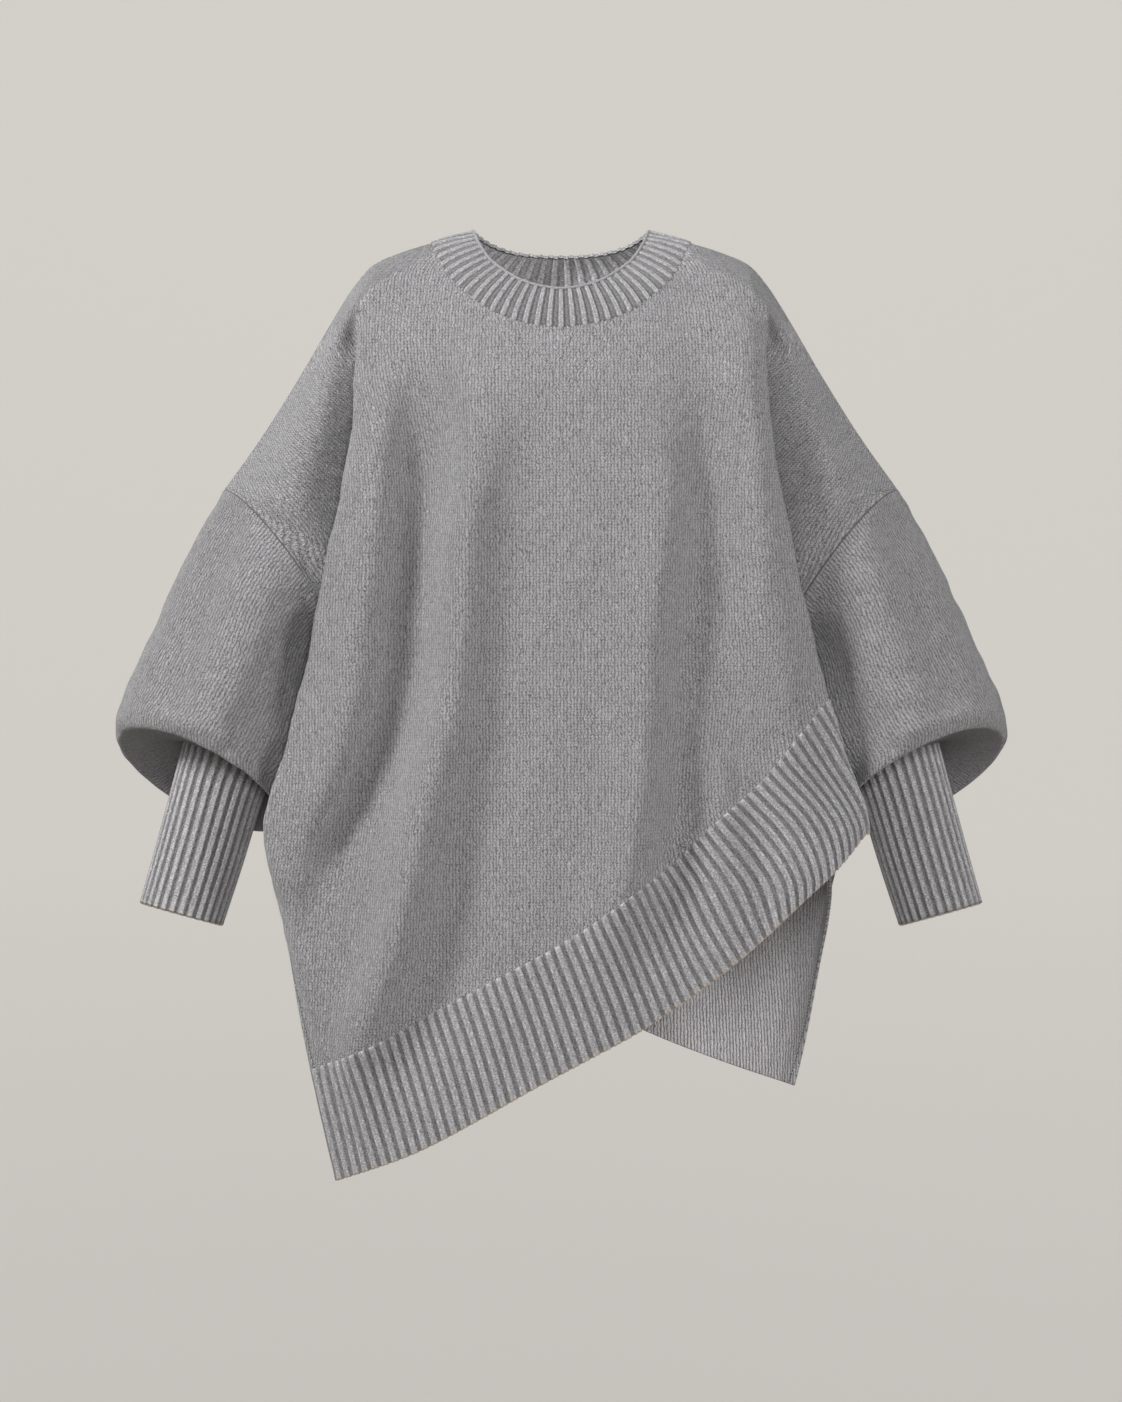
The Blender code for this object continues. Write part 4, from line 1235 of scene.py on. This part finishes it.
@dataclass
class CollarBand:
    """The ribbed collar that stands on the neckline of both panels."""

    front: BodyPanel
    back: BodyPanel
    rib: Rib
    name: str = "collar_rib_knit"
    node: str = "collar_rib"
    front_ribs: int = 35
    back_ribs: int = 23
    rows: int = 22
    edge: Array = field(init=False)

    BOW = 3.0

    def build(self, finish: BrushedWoolKnit) -> bpy.types.Object:
        """Build the collar.

        Formula: each rib joins equal parts of the neckline and of the upper
        edge, and is bowed outwards halfway.
        """
        lower, upper, seam_facing = [], [], []
        for panel, top, ribs in ((self.front, COLLAR_TOP_FRONT, self.front_ribs),
                                 (self.back, COLLAR_TOP_BACK, self.back_ribs)):
            line, facing = panel.upper_edge()
            line = line.copy()
            line[[0, -1], 1] = 0.0
            parts = np.arange(ribs * self.rib.samples) / (ribs * self.rib.samples)
            points, facing = read_edge((line, facing), parts)
            lower.append(points * panel.turn)
            seam_facing.append(facing * panel.turn)
            half = np.array(top, dtype=float)
            half[:, 1] = -np.abs(half[:, 1])
            whole = np.concatenate([half * np.array([-1.0, 1.0, 1.0]), half[-2::-1]])
            upper.append(along(whole, parts) * panel.turn)
        low, high = np.concatenate(lower), np.concatenate(upper)
        down = np.linspace(0, 1, self.rows)[:, None, None]
        out = unit((low + high) / 2 * np.array([1.0, 1.0, 0.0]))
        points = low + (high - low) * down + 4 * self.BOW * down * (1 - down) * out
        points = points + SEAM_GAP * (1 - down) * unit(high - low)
        facing = normals(points, True)
        if np.sum(facing[..., :2] * points[..., :2]) < 0:
            facing = -facing
        lead = 1 - ease(down, 0, 0.12)
        facing = unit(facing * (1 - lead) + np.concatenate(seam_facing) * lead)
        front = self.front_ribs * self.rib.samples
        self.edge = (points[-1] + 0.4 * facing[-1] + 0.7 * unit(points[-1] - points[-2]))[:front]
        phase = np.arange(points.shape[1]) / self.rib.samples
        shell = self.rib.shell(points, facing, phase, True, fall=1.0)
        return make_sheet(self.name, self.node, finish, shell, points)


# ---------------------------------------------------------------- arms


def oval_rings(ovals: tuple[tuple[float, ...], ...], parts: Array, sides: int,
               side: float) -> Array:
    """Rings of points through a row of ovals, front first.

    Formula: each ring is an oval through its outer and inner points, with
    half its depth in front and behind and its front led along the arm.
    """
    table = np.array(ovals, dtype=float)
    rows = smooth(parts, np.linspace(0, 1, len(table)), table)
    angle = math.tau * np.arange(sides) / sides
    outer, inner = rows[:, [0, 1]], rows[:, [2, 3]]
    middle, half = (outer + inner) / 2, (outer - inner) / 2
    across = unit(half)
    up = np.stack([-across[:, 1], across[:, 0]], axis=1)
    flat = (middle[:, None] + half[:, None] * np.cos(angle)[None, :, None]
            + (up * rows[:, 6:7])[:, None] * np.sin(angle)[None, :, None])
    depth = rows[:, 4:5] - rows[:, 5:6] * np.sin(angle)[None, :]
    return np.stack([flat[..., 0], depth, flat[..., 1]], axis=-1) * np.array([side, 1.0, 1.0])


def outward(points: Array) -> Array:
    """Directions out of a tube of rings."""
    facing = normals(points, True)
    centre = points.mean(axis=1, keepdims=True)
    return facing * np.sign(np.sum(facing * (points - centre)))


def level_end(points: Array, facing: Array, row: int, gap: float) -> None:
    """Turn a tube's end so that its rim lies flat in its ring, and cut it back."""
    centre = points[row].mean(axis=0)
    first, second = points[row, 0] - centre, points[row, points.shape[1] // 4] - centre
    axis = unit(np.cross(first, second))
    facing[row] -= (facing[row] @ axis)[:, None] * axis
    facing[row] = unit(facing[row])
    way = points[1 if row == 0 else -2].mean(axis=0) - centre
    points[row] += gap * axis * np.sign(axis @ way)


@dataclass(frozen=True)
class Crease:
    """A soft crease on a sleeve, over its turn in degrees and its length.

    Attributes:
        path: points (degrees, share of the length).
        width: width of its slopes in degrees.
        rise: height at its middle, negative for a trough.
    """

    path: tuple[tuple[float, float], ...]
    width: float
    rise: float

    # Shares of the length over which a crease fades at its ends.
    OUTSIDE = 0.08
    WITHIN = 0.06

    def height(self, degrees: Array, part: Array) -> Array:
        """Rise over the sleeve: a bell curve off the line, faded at its ends."""
        line = np.array(self.path, dtype=float)
        off = (degrees - smooth(part, line[:, 1], line[:, 0]) + 180) % 360 - 180
        first, last = line[0, 1], line[-1, 1]
        ends = band(part, first - self.OUTSIDE, first + self.WITHIN,
                    last - self.WITHIN, last + self.OUTSIDE)
        return self.rise * ends * bell(off, self.width)


SLEEVE_CREASES = (
    Crease(((35, 0.02), (48, 0.25), (62, 0.5)), 14, -7),
    Crease(((72, 0.05), (80, 0.3), (84, 0.55)), 13, 5),
    Crease(((128, 0.1), (118, 0.35), (138, 0.6)), 12, -8),
    Crease(((150, 0.3), (158, 0.62)), 9, 4),
    Crease(((-40, 0.02), (-52, 0.3), (-60, 0.55)), 13, -6),
    Crease(((-120, 0.1), (-124, 0.35), (-135, 0.6)), 12, -6),
    Crease(((100, 0.35), (108, 0.6)), 8, -4),
)


@dataclass
class BalloonSleeve:
    """A full sleeve from the dropped armhole to the gathered end over the cuff."""

    word: str
    side: float
    rows: int = 156
    sides: int = 142

    # Wales round the sleeve, how much wider they lie on one side of it, and
    # the shares of its length at evenly spread rows.
    WALES = 156
    SPREAD = 0.12
    STEPS = (0, 0.05, 0.1, 0.18, 0.27, 0.35, 0.43, 0.5, 0.555, 0.61, 0.667, 0.73, 0.8, 0.89,
             0.95, 1.0)

    def build(self, finish: BrushedWoolKnit) -> bpy.types.Object:
        """Build the sleeve: rings with creases raised along their facing."""
        count = len(self.STEPS)
        parts = np.interp(np.linspace(0, count - 1, self.rows), np.arange(count), self.STEPS)
        points = oval_rings(SLEEVE_OVALS, parts, self.sides, self.side)
        facing = outward(points)
        degrees = np.broadcast_to(np.arange(self.sides) * 360 / self.sides, points.shape[:2])
        part = np.broadcast_to(parts[:, None], points.shape[:2])
        relief = sum(crease.height(degrees, part) for crease in SLEEVE_CREASES)
        seed = 51 if self.side > 0 else 67
        relief = relief + 0.8 * uneven(points[..., 0] + points[..., 1], points[..., 2], 90, seed)
        relief = relief * ease(part, 0, 0.06) * (1 - ease(part, 0.62, 0.78))
        points = points + facing * relief[..., None]
        facing = outward(points)
        level_end(points, facing, 0, SEAM_GAP / 2)
        middle = points[self.rows // 2]
        turn = math.tau * lengths(np.concatenate([middle, middle[:1]]))[None, :]
        spread = self.SPREAD * np.sin(turn) * ease(parts, 0.2, 0.66)[:, None]
        cloth = np.stack([self.WALES / math.tau * (turn + spread),
                          -run_down(points, True) / COURSE], axis=2)
        # Painted shade on the turned-under end of the puff, about a third darker outside; the inner
        # face gets painted light as well.
        underside_shade = 0.5 * ease(part, 0.67, 0.72)
        shell = Shell(points, points - THICK * facing, cloth, True, 0, (underside_shade, underside_shade))
        return make_sheet(f"sleeve_{self.word}_knit", f"sleeve_{self.word}", finish, shell, points)


@dataclass
class RibCuff:
    """A long close cuff of rib knit."""

    word: str
    side: float
    rib: Rib
    ribs: int = 28
    rows: int = 60

    def build(self, finish: BrushedWoolKnit) -> bpy.types.Object:
        """Build the cuff: ovals with ribs along them."""
        sides = self.ribs * self.rib.samples
        points = oval_rings(CUFF_OVALS, np.linspace(0, 1, self.rows), sides, self.side)
        facing = outward(points)
        level_end(points, facing, 0, SEAM_GAP / 2)
        level_end(points, facing, -1, 0.0)
        phase = np.arange(sides) / self.rib.samples + 0.5
        shell = self.rib.shell(points, facing, phase, True, trim=1)
        return make_sheet(f"cuff_{self.word}_knit", f"cuff_{self.word}", finish, shell, points)


# ---------------------------------------------------------------- seams


@dataclass
class SeamYarn:
    """Linking yarn along a seam, whole or in stitches.

    Attributes:
        name: name of the piece.
        node: CAD node it rides on.
        paths: points of its lines.
        radius: half of the yarn's thickness.
        stitch: length of a stitch, or 0 for a whole yarn.
        gap: share of each stitch's length that lies beneath the cloth.
    """

    name: str
    node: str
    paths: tuple[Array, ...]
    radius: float = 0.8
    stitch: float = 0.0
    gap: float = 0.3

    def build(self, finish: BrushedWoolKnit) -> bpy.types.Object:
        """Build the yarn: a tube along each path, or along each of its stitches."""
        tubes = []
        for path in self.paths:
            length = float(np.sum(np.linalg.norm(np.diff(path, axis=0), axis=1)))
            if not self.stitch:
                tubes.append(yarn_tube(along(path, np.linspace(0, 1, round(length / 4))),
                                       self.radius))
                continue
            count = round(length / self.stitch)
            for place in range(count):
                parts = (place + np.linspace(0, 1 - self.gap, 4)) / count
                tubes.append(yarn_tube(along(path, parts), self.radius))
        return make_piece(self.name, self.node, finish.material(), *join(tubes),
                          stands_for=False)


# ---------------------------------------------------------------- studio


@dataclass(frozen=True)
class SoftLight:
    """A square soft light aimed at the sweater."""

    name: str
    place: tuple[float, float, float]
    size: float
    power: float
    aim: tuple[float, float, float] = (0.0, 0.0, -0.42)

    def build(self) -> None:
        """Add the light, turned towards its aim."""
        lamp = bpy.data.lights.new(self.name, "AREA")
        lamp.size = self.size
        lamp.energy = self.power
        item = add_object(self.name, lamp)
        item.location = self.place
        way = Vector(self.aim) - Vector(self.place)
        item.rotation_euler = way.to_track_quat("-Z", "Y").to_euler()


@dataclass
class Studio:
    """A paper sweep, soft lights and the camera.

    Attributes:
        lights: the soft lights.
        distance: metres from the camera to the sweater's middle plane.
        scale: millimetres to a pixel there.
        middle: the point (x, z) that the camera faces, in millimetres.
        room: strength of the light from all round.
        floor: height of the floor in metres.
        wall: distance of the far wall behind the sweater.
        bend: radius of the bend between floor and wall.
        half: half the width of the sweep, and its reach to the front.
        top: height of the wall's top.
    """

    lights: tuple[SoftLight, ...] = (
        SoftLight("key", (-3.4, -1.9, 1.9), 0.9, 270.0),
        SoftLight("front", (0.2, -6.0, 0.5), 1.6, 147.0),
        SoftLight("right", (3.2, -2.6, 0.8), 1.4, 112.0),
        SoftLight("top", (0.2, -0.6, 2.4), 1.6, 20.0),
    )
    distance: float = 8.0
    scale: float = 0.95
    middle: tuple[float, float] = (0.0, -428.5)
    room: float = 0.15
    floor: float = -1.9
    wall: float = 9.6
    bend: float = 1.2
    half: float = 12.0
    top: float = 6.0

    def sweep(self) -> bpy.types.Object:
        """The floor and backdrop.

        Formula: a profile of floor, quarter circle and wall, carried across.
        """
        turn = np.linspace(0, math.pi / 2, 24)
        arc = np.stack([self.wall - self.bend + self.bend * np.sin(turn),
                        self.floor + self.bend - self.bend * np.cos(turn)], axis=1)
        profile = np.concatenate([[(-self.half, self.floor), (-3.0, self.floor)], arc,
                                  [(self.wall, self.top)]])
        points = np.array([(x, y, z) for y, z in profile for x in (-self.half, self.half)])
        row = np.arange(len(profile) - 1) * 2
        mesh = bpy.data.meshes.new("sweep")
        mesh.from_pydata(points.tolist(), [],
                         np.stack([row, row + 1, row + 3, row + 2], axis=1).tolist())
        mesh.shade_smooth()
        mesh.materials.append(PaintedPaper().material())
        item = add_object("sweep", mesh)
        return item

    def camera(self) -> None:
        """A long lens at the middle of the sweater's height."""
        data = bpy.data.cameras.new("camera")
        tall = PICTURE_HEIGHT * self.scale * MM
        data.lens = data.sensor_width * self.distance / tall
        item = add_object("camera", data)
        item.location = (self.middle[0] * MM, -self.distance, self.middle[1] * MM)
        item.rotation_euler = (math.pi / 2, 0.0, 0.0)
        bpy.context.scene.camera = item

    def build(self) -> None:
        """Set up the whole studio."""
        self.sweep()
        for light in self.lights:
            light.build()
        world = bpy.data.worlds.new("room")
        bpy.context.scene.world = world
        world.use_nodes = True
        back = world.node_tree.nodes["Background"]
        back.inputs["Color"].default_value = linear("#dcdad6")
        back.inputs["Strength"].default_value = self.room
        self.camera()
        bpy.context.scene.view_settings.view_transform = "Standard"


def build_seams(front: BodyPanel, back: BodyPanel, collar: CollarBand) -> None:
    """Build the yarn of the seams and free edges.

    Args:
        front: the front panel, already built.
        back: the back panel, already built.
        collar: the collar, already built.
    """
    # The linking yarn is real, but its dark grey is painted shade: the shade in the seams, under
    # the back neck roll and along the selvedges.
    seam_yarn_painted_shade = BrushedWoolKnit("seam_yarn_painted_shade", "#77777a", "#3c3c3f", depth=0.2)
    roll_yarn = BrushedWoolKnit("roll_yarn", "#b7b5b7", "#6a696a", depth=0.3)
    SeamYarn("collar_edge", "collar_rib", (collar.edge,), 1.5).build(roll_yarn)
    for word, front_column, back_column in (("left", -1, 0), ("right", 0, -1)):
        loop = np.concatenate([front.armhole_edge(front_column),
                               back.armhole_edge(back_column)[::-1]])
        SeamYarn(f"armhole_seam_{word}", "front_panel", (loop,)).build(seam_yarn_painted_shade)
    necks = tuple((panel.points[0] - 0.1 * panel.facing[0]) * panel.turn
                  for panel in (front, back))
    SeamYarn("neck_seam", "front_panel", necks, 0.7, 4.2).build(seam_yarn_painted_shade)
    # The roll inside the back of the neck stops short of the collar's ends.
    edge, facing = back.upper_edge()
    behind, above, ends = 8.4, np.array([0.0, 0.0, 4.5]), slice(12, -12)
    roll = ((edge - behind * facing + above) * back.turn)[ends]
    SeamYarn("back_neck_roll", "back_panel", (roll,), 1.7).build(roll_yarn)
    # Dark stitches just under the roll: a painted shadow of the roll.
    line = roll - np.array([0.0, -1.2, 2.6])
    SeamYarn("back_neck_line", "back_panel", (line,), 0.9, 4.5).build(seam_yarn_painted_shade)
    inset, proud = 4.8, 0.1
    for panel in (front, back):
        for place, rise in (("outside", proud), ("inside", -THICK - proud)):
            SeamYarn(f"{panel.node}_selvedge_{place}", panel.node,
                     (panel.selvedge(inset, rise),), 0.6, 3.4).build(seam_yarn_painted_shade)


def main() -> None:
    """Build the sweater piece by piece, then the studio."""
    logging.basicConfig(level=logging.INFO, format="%(message)s")
    body_knit = BrushedWoolKnit("body_wool_knit", "#acaaac", depth=1.5, gap=0.85, lines=0.15,
                                fleck=2.2, shake=1.2)
    back_knit = BrushedWoolKnit("back_wool_knit", "#979597", lines=0.6, fleck=1.2, shake=0.8)
    # The sleeves' yarn is the body's yarn drawn darker: painted shade that makes up for the key
    # light on the sleeves.
    arm_knit_painted_shade = BrushedWoolKnit("arm_wool_knit_painted_shade", "#9b999b", depth=1.6, gap=0.85, lines=0.4,
                               fleck=2.0)
    rib_knit = BrushedWoolKnit("rib_wool_knit", "#b5b3b5", "#3c3c3e", gap=0.45, depth=0.5,
                               fleck=0.8)
    front = BodyPanel("front_panel_knit", "front_panel", Face.FRONT, FRONT_CUTS, FRONT_NECKLINE,
                      FRONT_HEM, FRONT_SLIT, FRONT_FOLDS, ARMHOLE_LEAN, BAND_HEM, 11, 0.033)
    back = BodyPanel("back_panel_knit", "back_panel", Face.BACK, BACK_CUTS, BACK_NECKLINE,
                     BACK_HEM, BACK_SLIT, BACK_FOLDS, -ARMHOLE_LEAN, BACK_HEM, 23)
    front.build(body_knit)
    back.build(back_knit)
    hem = HemBand(front, Rib(rise=2.2, share=0.6, dent=0.75))
    hem.build(rib_knit)
    collar = CollarBand(front, back, Rib(rise=2.0, share=0.46, dent=0.9))
    collar.build(rib_knit)
    build_seams(front, back, collar)
    for word, side in (("left", 1.0), ("right", -1.0)):
        BalloonSleeve(word, side).build(arm_knit_painted_shade)
        cuff = RibCuff(word, side, Rib(rise=1.8, share=0.62, dent=0.2))
        cuff.build(rib_knit)
    Studio().build()


if __name__ == "__main__":
    main()
